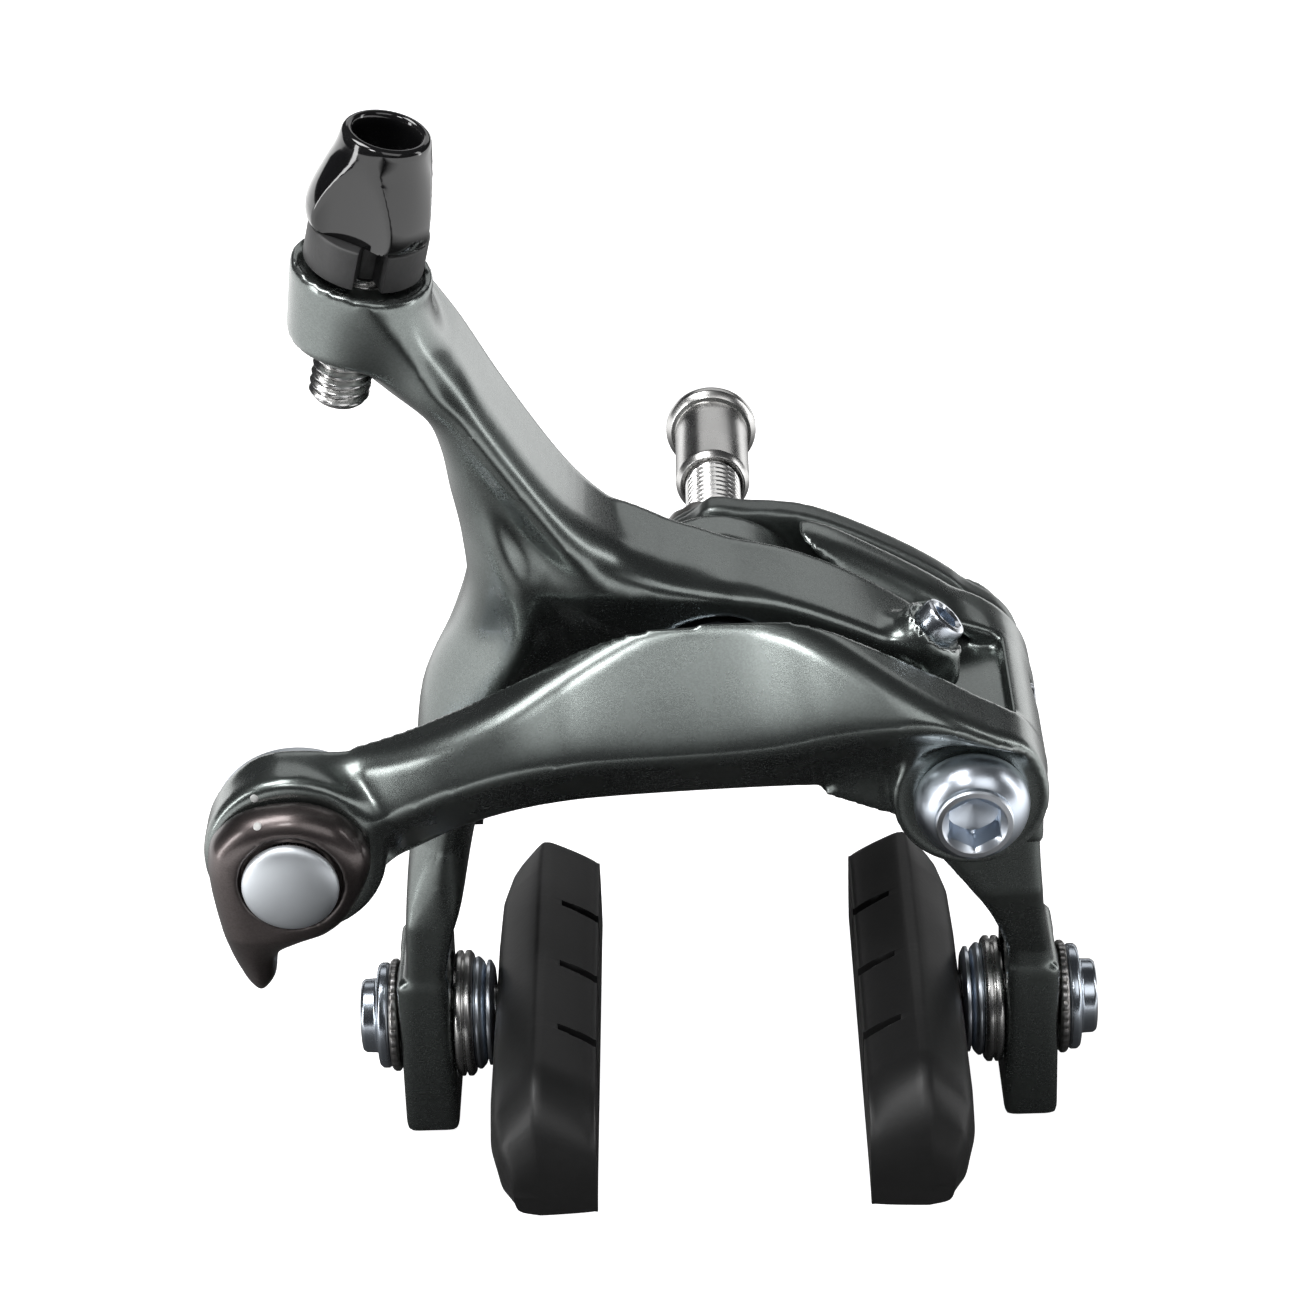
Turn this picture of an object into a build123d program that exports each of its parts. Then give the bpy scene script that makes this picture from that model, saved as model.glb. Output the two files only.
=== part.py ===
"""Dual-pivot side-pull rim brake caliper, built as separate pieces.

Frame: millimetres. Origin on the mounting bolt's axis, at the face that meets the
fork crown. +X to the rider's right seen from the front, +Y rearwards, +Z up.
"""
import math
import os

from build123d import *

# ---- driving dimensions (mm) -------------------------------------------------

# the two pivots, both along Y
SIDE_X, SIDE_Z = 24.3, -8.5        # side pivot; the centre pivot is x = z = 0
STUD_R = 3.0                       # M6 mounting stud and pivot bolts

# layers along Y, from the fork crown forwards
WASHER_T = 2.0                     # serrated washer on the crown
BRACKET_FRONT = -8.2
ARM_BACK = -8.9                    # rear face of both arms' hubs
HUB_FRONT = -24.4                  # front face of the Y arm's hub
BAND_FRONT = -15.4                 # rear half of the C arm ends here
BRANCH_BACK, BRANCH_FRONT = -16.0, -27.0   # Y arm branch inside the C arm's slot
PLATE_BACK, PLATE_FRONT = -31.2, -39.6     # front plate of the C arm
LEG_BACK, LEG_FRONT = -14.0, -26.0
ARM_WEB_BACK = -15.5               # rear face of the Y arm away from its hub

# hubs
BRACKET_EYE_R, BRACKET_NECK_R = 8.0, 6.6
BRACKET_STEP = -5.0                # behind this the bracket is narrower
CENTRE_HUB_R = 9.5
SIDE_HUB_R = 7.7
BUSH_T = 1.2
RUN = 0.05                         # radial running clearance

# brake shoes
RIM_GAP = 27.4                     # between the pad faces
SHOE_Y, SHOE_Z = -20.0, -44.0      # shoe stud axis, along X
PAD_BACK, PAD_FRONT = 1.0, -48.2   # pad ends along Y
PAD_THICK = 10.9
LEG_IN, LEG_OUT = 28.9, 34.7       # inner and outer face of each leg
SLOT_W, SHOE_TRAVEL = 6.4, 4.0

# recessed nut of the mounting stud
NUT_START, NUT_SLEEVE, NUT_FLANGE_T = 15.0, 12.5, 2.9
NUT_R, NUT_FLANGE_R = 4.0, 5.0
STUD_END = 24.0

# quick release at the left end of the C arm, axis along Y
QR_X, QR_Z = -42.2, -12.2
QR_BOSS_R, QR_BOSS_FRONT, QR_BOSS_BACK = 9.0, -38.0, -31.8
QR_LEVER_R, QR_LEVER_FRONT, QR_LEVER_BACK = 7.8, -42.4, -38.3
QR_OFFSET = -1.2                   # eccentric that carries the cable anchor
CAM_R, PIN_R = 4.0, 2.5
QR_TAIL = (-46.8, -26.7)           # tip of the lever's tail

# barrel adjuster, tilted to the right and forwards going up
ADJ_BASE = (-32.1, -25.0, 45.7)    # centre of the boss's top face
ADJ_TILT, ADJ_LEAN = 13.8, 6.0     # degrees
BOSS_R, BOSS_FOOT_R, BOSS_LEN = 6.9, 6.2, 8.4
COLLAR_R, COLLAR_H = 5.7, 4.1
KNOB_R, KNOB_TOP_R, KNOB_H = 6.3, 4.4, 10.0
HOUSING_R, HOUSING_DEEP = 3.1, 6.0  # socket in the knob for the cable housing
SCREW_R, SCREW_DOWN = 2.85, 15.0

# centering screw in the Y arm's tip
SCREW_HEAD = (22.3, -24.2, 5.0)
SCREW_ANGLE = 47.5                 # of its axis above +X
SCREW_LEN = 12.0
SCREW_PLAY = 0.7                   # between the screw's tip and the slip it bears on
HEX_5 = 5.0                        # socket across flats
GRUB_AT = (31.6, -18.0, -8.6)
GRUB_LEN = 2.6

# return spring wire: root in the bracket, then in one plane to the left leg
SPRING_R, SPRING_Y = 0.9, -11.2
SPRING_ROOT = (8.6, -5.0, -9.6)


# ---- helpers -----------------------------------------------------------------

def at_y(y):
    """Sketch plane facing forwards at this y; its local axes are X and Z."""
    return Plane.XZ.offset(-y)


def slab(face, back, front):
    """Solid of an X-Z outline between two y values."""
    return extrude(at_y(back) * face, amount=back - front)


def disc(x, z, radius, back, front):
    return slab(Pos(x, z) * Circle(radius), back, front)


def ring(x, z, outer, inner, back, front):
    return disc(x, z, outer, back, front) - disc(x, z, inner, back, front)


def hexagon(flats):
    return RegularPolygon(flats / math.sqrt(3), 6)


def smooth(points):
    """Closed outline that runs smoothly through its points."""
    return make_face(Spline(*points, periodic=True))


def along(origin, direction):
    """Local frame with +Z along a direction."""
    return Plane(origin=origin, z_dir=direction)


def unit(x, y, z):
    size = math.sqrt(x * x + y * y + z * z)
    return (x / size, y / size, z / size)


def adjuster_frame():
    up = unit(math.tan(math.radians(ADJ_TILT)), -math.tan(math.radians(ADJ_LEAN)), 1)
    return Plane(origin=ADJ_BASE, x_dir=(1, 0, -up[0] / up[2]), z_dir=up)


def centering_frame():
    lift = math.radians(SCREW_ANGLE)
    return along(SCREW_HEAD, (math.cos(lift), 0, math.sin(lift)))


def rod(frame, radius, low, high):
    """Cylinder on a frame's Z axis between two heights."""
    return frame * Pos(0, 0, low) * Cylinder(
        radius, high - low, align=(Align.CENTER, Align.CENTER, Align.MIN))


def x_frame(side):
    """Frame of a shoe's stud: +Z points away from the rim."""
    return along((0, SHOE_Y, SHOE_Z), (side, 0, 0))


# ---- bracket and mounting ----------------------------------------------------

def make_bracket():
    """Plate that holds both pivots, with a lug for the return spring."""
    plate = Polyline((-2, 7.7), (4, 7.6), (12, 5.8), (24.5, -1.4), (31, -11.5), (27.5, -15.8),
                     (20, -15.4), (8, -13.0), (-4, -7.2), close=True)
    body = slab(make_face(plate), BRACKET_STEP, BRACKET_FRONT)
    neck = Polyline((-2, 6.2), (4, 6.0), (22, -2.8), (29, -12.0), (20, -13.2), (8, -11.8),
                    (-3, -6), close=True)
    body += slab(make_face(neck), -WASHER_T, BRACKET_STEP)
    body += disc(0, 0, BRACKET_EYE_R, BRACKET_STEP, BRACKET_FRONT)
    body += disc(0, 0, BRACKET_NECK_R, -WASHER_T, BRACKET_STEP)
    body += disc(SIDE_X, SIDE_Z, BRACKET_EYE_R - 0.8, BRACKET_STEP, BRACKET_FRONT)
    body += disc(SIDE_X, SIDE_Z, BRACKET_NECK_R - 0.4, -WASHER_T, BRACKET_STEP)
    body -= disc(0, 0, STUD_R, 0, BRACKET_FRONT - 1)
    body -= disc(SIDE_X, SIDE_Z, STUD_R, 0, BRACKET_FRONT - 1)
    body -= disc(SPRING_ROOT[0], SPRING_ROOT[2], SPRING_R, -4, BRACKET_FRONT - 1)
    return body


def make_mounting_washer():
    """Serrated washer: radial teeth on the face against the crown."""
    body = ring(0, 0, 6.5, STUD_R, 0, -WASHER_T)
    tooth = Box(4.4, 0.6, 0.7)
    for i in range(18):
        body -= Rot(0, 20 * i, 0) * Pos(5.6, 0, 0) * tooth
    return body


def make_centre_bolt():
    """Mounting stud that carries on forwards as the centre pivot."""
    body = disc(0, 0, STUD_R, STUD_END, -30.4)
    return chamfer(body.edges().filter_by(GeomType.CIRCLE), 0.5)


def make_recessed_nut():
    """Sleeve nut that draws the stud from behind the crown."""
    start, flange = NUT_START, NUT_START + NUT_SLEEVE
    end = flange + NUT_FLANGE_T
    body = disc(0, 0, NUT_R, flange, start) + disc(0, 0, NUT_FLANGE_R, end, flange)
    body = chamfer(body.edges().filter_by(GeomType.CIRCLE), 0.4)
    body -= disc(0, 0, STUD_R, STUD_END + 0.5, start - 1)
    return body - slab(hexagon(HEX_5), end + 1, STUD_END + 0.5)


def make_centre_lock_nut():
    body = slab(hexagon(10), -25.9, -29.6)
    return body - disc(0, 0, STUD_R, -25, -31)


# ---- Y arm -------------------------------------------------------------------

def y_arm_outline():
    """Barrel arm, waist and left leg seen from the front."""
    return smooth([
        (-36.5, 37.6), (-31.8, 33.4), (-27.3, 29.6), (-25.7, 20.5), (-24.5, 10.0),
        (-27.0, 2.2), (-30.8, -6.4), (-32.0, -16.0), (-33.0, -25.0), (-33.8, -33.0),
        (-30.0, -34.0), (-27.6, -28.0), (-23.6, -14.0), (-17.5, -4.5), (-8.0, -5.0),
        (-2.0, 2.0), (0.6, 9.3), (-5.1, 12.8), (-9.6, 15.4), (-14.3, 20.4),
        (-20.0, 29.6), (-24.8, 38.4), (-29.0, 42.4), (-35.5, 42.0)])


def y_branch_outline():
    """Arm from the centre hub to the rounded tip under the centering screw."""
    return smooth([
        (-9.5, 15.5), (-4.0, 13.2), (0.6, 11.0), (6.6, 9.9), (12.5, 7.3), (18.0, 4.0),
        (22.8, 1.6), (24.2, -0.6), (22.4, -2.5), (18.6, -2.1), (14.0, 0.2), (9.0, 2.4),
        (2.0, 2.0), (-6.0, 1.0), (-12.0, 8.0)])


def leg(side, top):
    """Straight lower end of a leg, square in section with a rounded foot."""
    middle, width = (LEG_IN + LEG_OUT) / 2, LEG_OUT - LEG_IN
    low = SHOE_Z - 11.4
    body = Pos(side * middle, (LEG_BACK + LEG_FRONT) / 2, (low + top) / 2) * Box(
        width, LEG_BACK - LEG_FRONT, top - low)
    foot = body.edges().group_by(Axis.Z)[0].filter_by(Axis.X)
    return fillet(foot, 2.0)


def shoe_slot(side):
    """Upright slot that lets the shoe's stud move up and down."""
    half = SLOT_W / 2
    cut = rod(x_frame(side), half, LEG_IN - 2, LEG_OUT + 2)
    body = Pos(0, 0, SHOE_TRAVEL) * cut + Pos(0, 0, -SHOE_TRAVEL) * cut
    middle = (LEG_IN + LEG_OUT) / 2
    return body + Pos(side * middle, SHOE_Y, SHOE_Z) * Box(
        LEG_OUT - LEG_IN + 4, SLOT_W, 2 * SHOE_TRAVEL)


def make_y_arm():
    """Arm on the centre pivot: cable stop, left shoe and the screw's tip."""
    body = slab(y_arm_outline(), ARM_WEB_BACK, LEG_FRONT)
    body += slab(y_branch_outline(), BRANCH_BACK, BRANCH_FRONT)
    body += disc(0, 0, CENTRE_HUB_R, ARM_BACK, HUB_FRONT)
    body += leg(-1, SHOE_Z + 11)
    frame = adjuster_frame()
    body += frame * Pos(0, 0, -BOSS_LEN / 2) * Cone(BOSS_FOOT_R, BOSS_R, BOSS_LEN)
    body -= rod(frame, 9.5, 0, 12)
    body -= rod(frame, SCREW_R + RUN, -BOSS_LEN - 15, 1)
    body -= disc(0, 0, 7.4, HUB_FRONT, PLATE_BACK)
    body -= disc(0, 0, STUD_R + RUN + BUSH_T, ARM_BACK + 1, HUB_FRONT - 4)
    body -= shoe_slot(-1)
    body -= rod(centering_frame(), 2.0, -SCREW_LEN - 3, 4)
    body -= rod(centering_frame(), 2.9, -1.9, 8)
    return body


def make_centering_screw():
    """Socket-head screw that sets the two arms' balance."""
    frame = centering_frame()
    shank = rod(frame, 2.0 - RUN, -SCREW_LEN, -1.8)
    head = rod(frame, 2.4, -1.8, 0.6)
    head = fillet(head.edges().filter_by(GeomType.CIRCLE).sort_by(Axis.Z)[-1], 0.5)
    socket = frame * Pos(0, 0, -0.8) * extrude(hexagon(2.5), amount=3)
    return shank + head - socket


# ---- C arm -------------------------------------------------------------------

# outline of the C arm's front plate: (x, z) at its back, then at its front face
C_PLATE = [
    ((-46.0, -4.8), (-33.6, -3.2)), ((-38.8, -4.2), (-32.8, -2.3)),
    ((-31.4, -2.6), (-29.8, -1.4)), ((-21.3, 1.6), (-21.3, 1.6)),
    ((-13.4, 5.6), (-13.0, 3.2)), ((-5.6, 9.0), (-5.4, 4.4)), ((2.1, 9.8), (2.1, 4.9)),
    ((9.8, 8.0), (9.8, 4.9)), ((17.5, 4.6), (17.2, 4.4)), ((25.2, 0.6), (24.5, 2.2)),
    ((30.2, -3.0), (28.3, -0.4)), ((31.2, -9.0), (29.6, -2.6)),
    ((28.5, -15.0), (27.6, -2.0)), ((21.0, -14.2), (21.5, 0.6)),
    ((14.0, -11.4), (14.0, 0.4)), ((5.7, -9.0), (6.0, -1.2)),
    ((-6.1, -8.8), (-6.0, -2.0)), ((-18.1, -10.0), (-18.0, -1.6)),
    ((-26.2, -12.5), (-26.0, -3.0)), ((-33.5, -17.4), (-31.5, -6.6)),
    ((-41.0, -19.8), (-33.2, -7.2)), ((-48.4, -14.6), (-34.4, -5.2))]


def c_plate():
    """Front plate, which narrows forwards from its whole outline to a crest."""
    back = at_y(PLATE_BACK) * smooth([pair[0] for pair in C_PLATE])
    front = at_y(PLATE_FRONT) * smooth([pair[1] for pair in C_PLATE])
    return loft([back, front])


def c_band_outline():
    """Rear half of the C arm, which runs over the side pivot."""
    return smooth([
        (9.6, 8.8), (15.0, 5.9), (23.5, 0.9), (29.1, -4.1), (31.8, -9.0), (31.9, -16.0),
        (28.0, -19.5), (19.0, -16.0), (15.0, -8.0), (12.3, 1.5)])


def c_leg_outline():
    """Right leg from the side pivot down to its straight lower end."""
    return smooth([
        (31.6, -8.0), (31.9, -18.0), (32.8, -28.0), (34.3, -34.5), (30.7, -35.0),
        (28.3, -30.3), (25.6, -25.0), (20.5, -17.5), (17.5, -9.0), (24.0, -5.0)])


def make_c_arm():
    """Arm on the side pivot: cable anchor, right shoe and the contact lug."""
    body = c_plate()
    body += disc(QR_X, QR_Z, QR_BOSS_R, QR_BOSS_BACK, QR_BOSS_FRONT)
    body -= disc(QR_X, QR_Z, QR_BOSS_R + 1.6, PLATE_BACK + 1, QR_BOSS_BACK)
    body += slab(c_band_outline(), ARM_BACK, BAND_FRONT)
    body += slab(c_leg_outline(), LEG_BACK, LEG_FRONT - 4)
    body += disc(SIDE_X, SIDE_Z, SIDE_HUB_R, ARM_BACK, PLATE_FRONT + 3.4)
    wall = Polyline((28.7, -16), (28.7, -3.6), (30.6, -5.6), (31.8, -9.0), (31.8, -16),
                    close=True)
    body += slab(make_face(wall), ARM_BACK, PLATE_BACK - 2)
    lug = Polyline((12.4, -7.3), (14.6, -6.9), (20, -9), (21, -13), (16, -12), (10, -9.6),
                   close=True)
    body += slab(make_face(lug), -18.8, PLATE_BACK - 2)
    body += leg(1, SHOE_Z + 10)
    body -= slab(Pos(20.3, 2.1) * Rectangle(16.6, 11.2), BAND_FRONT, PLATE_BACK)
    body -= disc(SIDE_X, SIDE_Z, 6.9, PLATE_FRONT + 3.4, PLATE_FRONT - 1)
    body -= disc(SIDE_X, SIDE_Z, STUD_R + RUN + BUSH_T, ARM_BACK + 1, PLATE_FRONT - 1)
    body -= disc(QR_X, QR_Z, CAM_R + RUN, PLATE_BACK + 1, PLATE_FRONT - 1)
    body -= shoe_slot(1)
    body -= rod(along(GRUB_AT, (1, 0, 0)), 2.0, -GRUB_LEN, 4)
    body -= rod(centering_frame(), 3.0, -SCREW_LEN - SCREW_PLAY, -7)
    return body - contact_slip()


def contact_slip():
    """Hard slip, set in the C arm's lug, that the centering screw bears on."""
    thick = 3.0
    frame = centering_frame() * Pos(0, 0, -SCREW_LEN - SCREW_PLAY - thick / 2)
    return frame * Box(4.6, 4.6, thick)


def make_grub_screw():
    """Short set screw in the C arm's outer wall."""
    frame = along(GRUB_AT, (1, 0, 0))
    socket = frame * Pos(0, 0, -1.0) * extrude(hexagon(2.0), amount=3)
    return rod(frame, 2.0, -GRUB_LEN, 0.5) - socket


def make_side_pivot_bolt():
    """Domed socket bolt through the C arm into the bracket."""
    seat = PLATE_FRONT + 3.3
    profile = Polyline((0, 0), (5.7, 0), (5.7, 1.0)) + Spline(
        (5.7, 1.0), (5.1, 3.2), (3.9, 4.7)) + Polyline((3.9, 4.7), (0, 4.7), (0, 0))
    head = revolve(Plane.XY * make_face(profile.edges()), Axis.Y)
    body = Pos(SIDE_X, seat, SIDE_Z) * Rot(180, 0, 0) * head
    body += disc(SIDE_X, SIDE_Z, STUD_R, -WASHER_T - 0.4, seat)
    return body - slab(Pos(SIDE_X, SIDE_Z) * hexagon(HEX_5), seat - 1.4, seat - 8)


# ---- bushes and washers on the pivots ----------------------------------------

def make_bush(x, z, front):
    return ring(x, z, STUD_R + RUN + BUSH_T, STUD_R + RUN, ARM_BACK, front)


def make_thrust_washer(x, z, outer):
    return ring(x, z, outer, STUD_R, BRACKET_FRONT, ARM_BACK + 0.1)


# ---- return spring -----------------------------------------------------------

SPRING_ROUTE = [SPRING_ROOT, (8.6, SPRING_Y, -9.6), (2.0, SPRING_Y, -13.4),
                (-14.0, SPRING_Y, -13.2), (-26.2, SPRING_Y, -19.6)]


def make_return_spring():
    """Spring wire from the bracket, under the hub, to the left leg."""
    path = FilletPolyline(*SPRING_ROUTE, radius=[2.4, 5.0, 12.0])
    start = Plane(origin=path @ 0, z_dir=path % 0)
    return sweep(start * Circle(SPRING_R), path=path)


def make_spring_seat():
    """Plastic rest on the back of the left leg for the spring's end."""
    base = Pos(-28.4, LEG_BACK + 0.7, -20.6) * Box(6.4, 1.4, 7.0)
    lip = Pos(-30.2, LEG_BACK + 2.5, -20.6) * Box(2.8, 2.6, 7.0)
    return base + lip


# ---- barrel adjuster ---------------------------------------------------------

def make_adjuster_collar():
    """Indexing ring under the knob, with a key notch at the front."""
    frame = adjuster_frame()
    body = rod(frame, COLLAR_R, 0.1, COLLAR_H)
    body -= rod(frame, SCREW_R + RUN, -1, COLLAR_H + 1)
    return body - frame * Pos(-0.6, -COLLAR_R, 2.2) * Box(2.5, 1.9, 4.6)


def make_adjuster_knob():
    """Three-lobed knob with a socket for the cable housing."""
    side = Spline((KNOB_R - 0.4, 0), (KNOB_R, 2.6), (KNOB_R - 0.8, 6.2), (KNOB_TOP_R, KNOB_H))
    profile = Polyline((KNOB_TOP_R, KNOB_H), (0, KNOB_H), (0, 0), (KNOB_R - 0.4, 0)) + side
    body = revolve(Plane.XZ * make_face(profile.edges()), Axis.Z)
    for turn in (30, 150, 270):
        flute = Rot(0, 0, turn) * Pos(11.6, 0, KNOB_H) * Rot(0, -9, 0) * Cylinder(6.2, 30)
        body -= flute
    body -= Pos(0, 0, KNOB_H - HOUSING_DEEP) * Cylinder(
        HOUSING_R, 12, align=(Align.CENTER, Align.CENTER, Align.MIN))
    body -= Pos(0, 0, -1) * Cylinder(
        SCREW_R, 9, align=(Align.CENTER, Align.CENTER, Align.MIN))
    return adjuster_frame() * Pos(0, 0, COLLAR_H + 0.1) * body


def make_adjuster_screw():
    """Hollow threaded stem that the cable runs through."""
    frame = adjuster_frame()
    body = rod(frame, SCREW_R, -SCREW_DOWN, COLLAR_H + 0.1 + KNOB_H - HOUSING_DEEP)
    return body - rod(frame, 1.2, -SCREW_DOWN - 1, COLLAR_H + KNOB_H)


# ---- quick release and cable anchor ------------------------------------------

def make_quick_release_lever():
    """Round head with a tail that hangs down past the arm's end."""
    tip_x, tip_z = QR_TAIL
    tail = Polyline((QR_X - QR_LEVER_R + 0.3, QR_Z - 2), (QR_X - 6.6, QR_Z - 9.5),
                    (tip_x - 0.9, tip_z + 1.2), (tip_x, tip_z), (tip_x + 1.3, tip_z + 1.4),
                    (QR_X - 1.2, QR_Z - QR_LEVER_R - 2.6), (QR_X + 3.0, QR_Z - QR_LEVER_R + 0.6),
                    close=True)
    body = disc(QR_X, QR_Z, QR_LEVER_R, QR_LEVER_BACK, QR_LEVER_FRONT)
    body += slab(make_face(tail), QR_LEVER_BACK, QR_LEVER_FRONT + 1.2)
    return body - disc(QR_X, QR_Z, CAM_R, QR_LEVER_BACK + 1, QR_LEVER_FRONT - 1)


def make_quick_release_cap():
    """Shallow dome over the end of the cam."""
    depth = 1.8
    radius = (4.7 ** 2 + depth ** 2) / (2 * depth)
    dome = Pos(QR_X, QR_LEVER_FRONT - depth + radius, QR_Z) * Sphere(radius)
    return dome & disc(QR_X, QR_Z, 4.7, QR_LEVER_FRONT, QR_LEVER_FRONT - depth - 1)


def make_quick_release_cam():
    """Cam shaft: round in the arm, with an off-centre pin for the anchor."""
    body = disc(QR_X, QR_Z, CAM_R, QR_BOSS_BACK + 0.2, QR_LEVER_FRONT)
    pin_z = QR_Z + QR_OFFSET
    body += disc(QR_X, pin_z, PIN_R, -22.4, QR_BOSS_BACK)
    return body - ring(QR_X, pin_z, PIN_R + 1, PIN_R - 0.5, -22.8, -23.5)


def make_anchor_clip():
    return ring(QR_X, QR_Z + QR_OFFSET, PIN_R + 1.2, PIN_R - 0.5, -22.8, -23.5)


def make_clamp_disc():
    """Round plate and boss that turn on the cam's pin and hold the cable."""
    pin_z = QR_Z + QR_OFFSET
    body = disc(QR_X, pin_z, 8.9, -28.9, -31.3) + disc(QR_X, pin_z, 4.0, -23.7, -28.9)
    body -= disc(QR_X, pin_z, PIN_R + RUN, -23, -32)
    groove = Pos(QR_X + 5.4, -28.9, pin_z) * Cylinder(0.8, 20)
    return body - groove


def make_clamp_washer():
    return ring(QR_X, QR_Z + QR_OFFSET, 6.6, 4.0, -27.5, -28.9)


def make_clamp_nut():
    face = Pos(QR_X, QR_Z + QR_OFFSET) * hexagon(9.6)
    return slab(face, -24.3, -27.5) - disc(QR_X, QR_Z + QR_OFFSET, 4.0, -23, -29)


# ---- brake shoes -------------------------------------------------------------

def pad_section():
    """Section of a pad across the rim, in X-Z, for the right-hand side."""
    inner, outer = RIM_GAP / 2, RIM_GAP / 2 + PAD_THICK
    ridge = (inner + outer) / 2 + 0.2
    points = [(inner, 5.0), (ridge, 8.2), (outer - 0.6, 4.4), (outer, 0.5),
              (outer - 0.6, -3.0), (ridge, -5.0), (inner, -4.0)]
    return [(x, SHOE_Z + z) for x, z in points]


def mirrored(body, side):
    return body if side > 0 else mirror(body, Plane.YZ)


def make_pad(side):
    """Rubber block with bevelled ends and three water grooves."""
    middle = (PAD_BACK + PAD_FRONT) / 2
    body = slab(make_face(Polyline(*pad_section(), close=True)), PAD_BACK, PAD_FRONT)
    inner = RIM_GAP / 2
    for end, turn in ((PAD_BACK, -1), (PAD_FRONT, 1)):
        cut = Pos(inner + PAD_THICK + 1.0, end, SHOE_Z) * Rot(0, 0, turn * 35) * Box(22, 7, 30)
        body -= cut
    for i in (-1, 0, 1):
        body -= Pos(inner, middle + 8 * i, SHOE_Z) * Box(3.0, 1.0, 30)
    body -= rod(x_frame(1), STUD_R, LEG_IN - 10.2, LEG_IN)
    return mirrored(body, side)


SHOE_STACK = {"cup_washer": (24.7, 25.5), "ball_washer": (25.5, 26.9),
              "spacer": (26.9, LEG_IN - 0.05), "outer_washer": (LEG_OUT + 0.05, 35.8)}


def make_shoe_stud(side):
    return rod(x_frame(side), STUD_R, LEG_IN - 10.2, 37.5)


def make_cup_washer(side):
    low, high = SHOE_STACK["cup_washer"]
    return rod(x_frame(side), 5.6, low, high) - rod(x_frame(side), STUD_R, low - 1, high + 1)


def make_ball_washer(side):
    low, high = SHOE_STACK["ball_washer"]
    shape = rod(x_frame(side), 6.0, low, high)
    shape = fillet(shape.edges().filter_by(GeomType.CIRCLE), 0.6)
    return shape - rod(x_frame(side), STUD_R, low - 1, high + 1)


def make_spacer(side):
    low, high = SHOE_STACK["spacer"]
    hole = rod(x_frame(side), STUD_R + RUN, low - 1, high + 1)
    return rod(x_frame(side), 6.7, low, high) - hole


def make_outer_washer(side):
    low, high = SHOE_STACK["outer_washer"]
    hole = rod(x_frame(side), STUD_R + RUN, low - 1, high + 1)
    return rod(x_frame(side), 6.0, low, high) - hole


def make_shoe_nut(side):
    """Flanged nut with a hexagon socket in its boss."""
    frame = x_frame(side)
    body = rod(frame, 5.6, 35.8, 37.1) + rod(frame, 3.9, 37.1, 38.9)
    body -= rod(frame, STUD_R, 35.7, 37.5)
    return body - frame * Pos(0, 0, 37.5) * extrude(hexagon(HEX_5), amount=3)


# ---- write one file per piece ------------------------------------------------

def pieces():
    yield "bracket", make_bracket()
    yield "mounting_washer", make_mounting_washer()
    yield "centre_bolt", make_centre_bolt()
    yield "recessed_nut", make_recessed_nut()
    yield "centre_lock_nut", make_centre_lock_nut()
    yield "front_thrust_washer", ring(0, 0, 6.4, STUD_R, -24.6, -25.9)
    yield "rear_thrust_washer", make_thrust_washer(0, 0, 8.0)
    yield "side_thrust_washer", make_thrust_washer(SIDE_X, SIDE_Z, 7.0)
    yield "side_pivot_bolt", make_side_pivot_bolt()
    yield "return_spring", make_return_spring()
    yield "y_arm", make_y_arm()
    yield "centre_bush", make_bush(0, 0, HUB_FRONT)
    yield "spring_seat", make_spring_seat()
    yield "centering_screw", make_centering_screw()
    yield "adjuster_collar", make_adjuster_collar()
    yield "adjuster_knob", make_adjuster_knob()
    yield "adjuster_screw", make_adjuster_screw()
    yield "c_arm", make_c_arm()
    yield "side_bush", make_bush(SIDE_X, SIDE_Z, PLATE_FRONT + 3.4)
    yield "contact_block", contact_slip()
    yield "pivot_grub_screw", make_grub_screw()
    yield "quick_release_lever", make_quick_release_lever()
    yield "quick_release_cap", make_quick_release_cap()
    yield "quick_release_cam", make_quick_release_cam()
    yield "anchor_clip", make_anchor_clip()
    yield "clamp_disc", make_clamp_disc()
    yield "clamp_washer", make_clamp_washer()
    yield "clamp_nut", make_clamp_nut()
    makers = {"brake_pad": make_pad, "shoe_stud": make_shoe_stud,
              "cup_washer": make_cup_washer, "ball_washer": make_ball_washer,
              "spacer": make_spacer, "outer_washer": make_outer_washer,
              "shoe_nut": make_shoe_nut}
    for word, side in (("left", -1), ("right", 1)):
        for name, maker in makers.items():
            yield word + "_" + name, maker(side)


os.makedirs("parts", exist_ok=True)
for node, shape in pieces():
    export_step(shape, "parts/" + node + ".step")
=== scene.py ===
import math

import bpy
import numpy as np
from mathutils import Matrix


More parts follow.
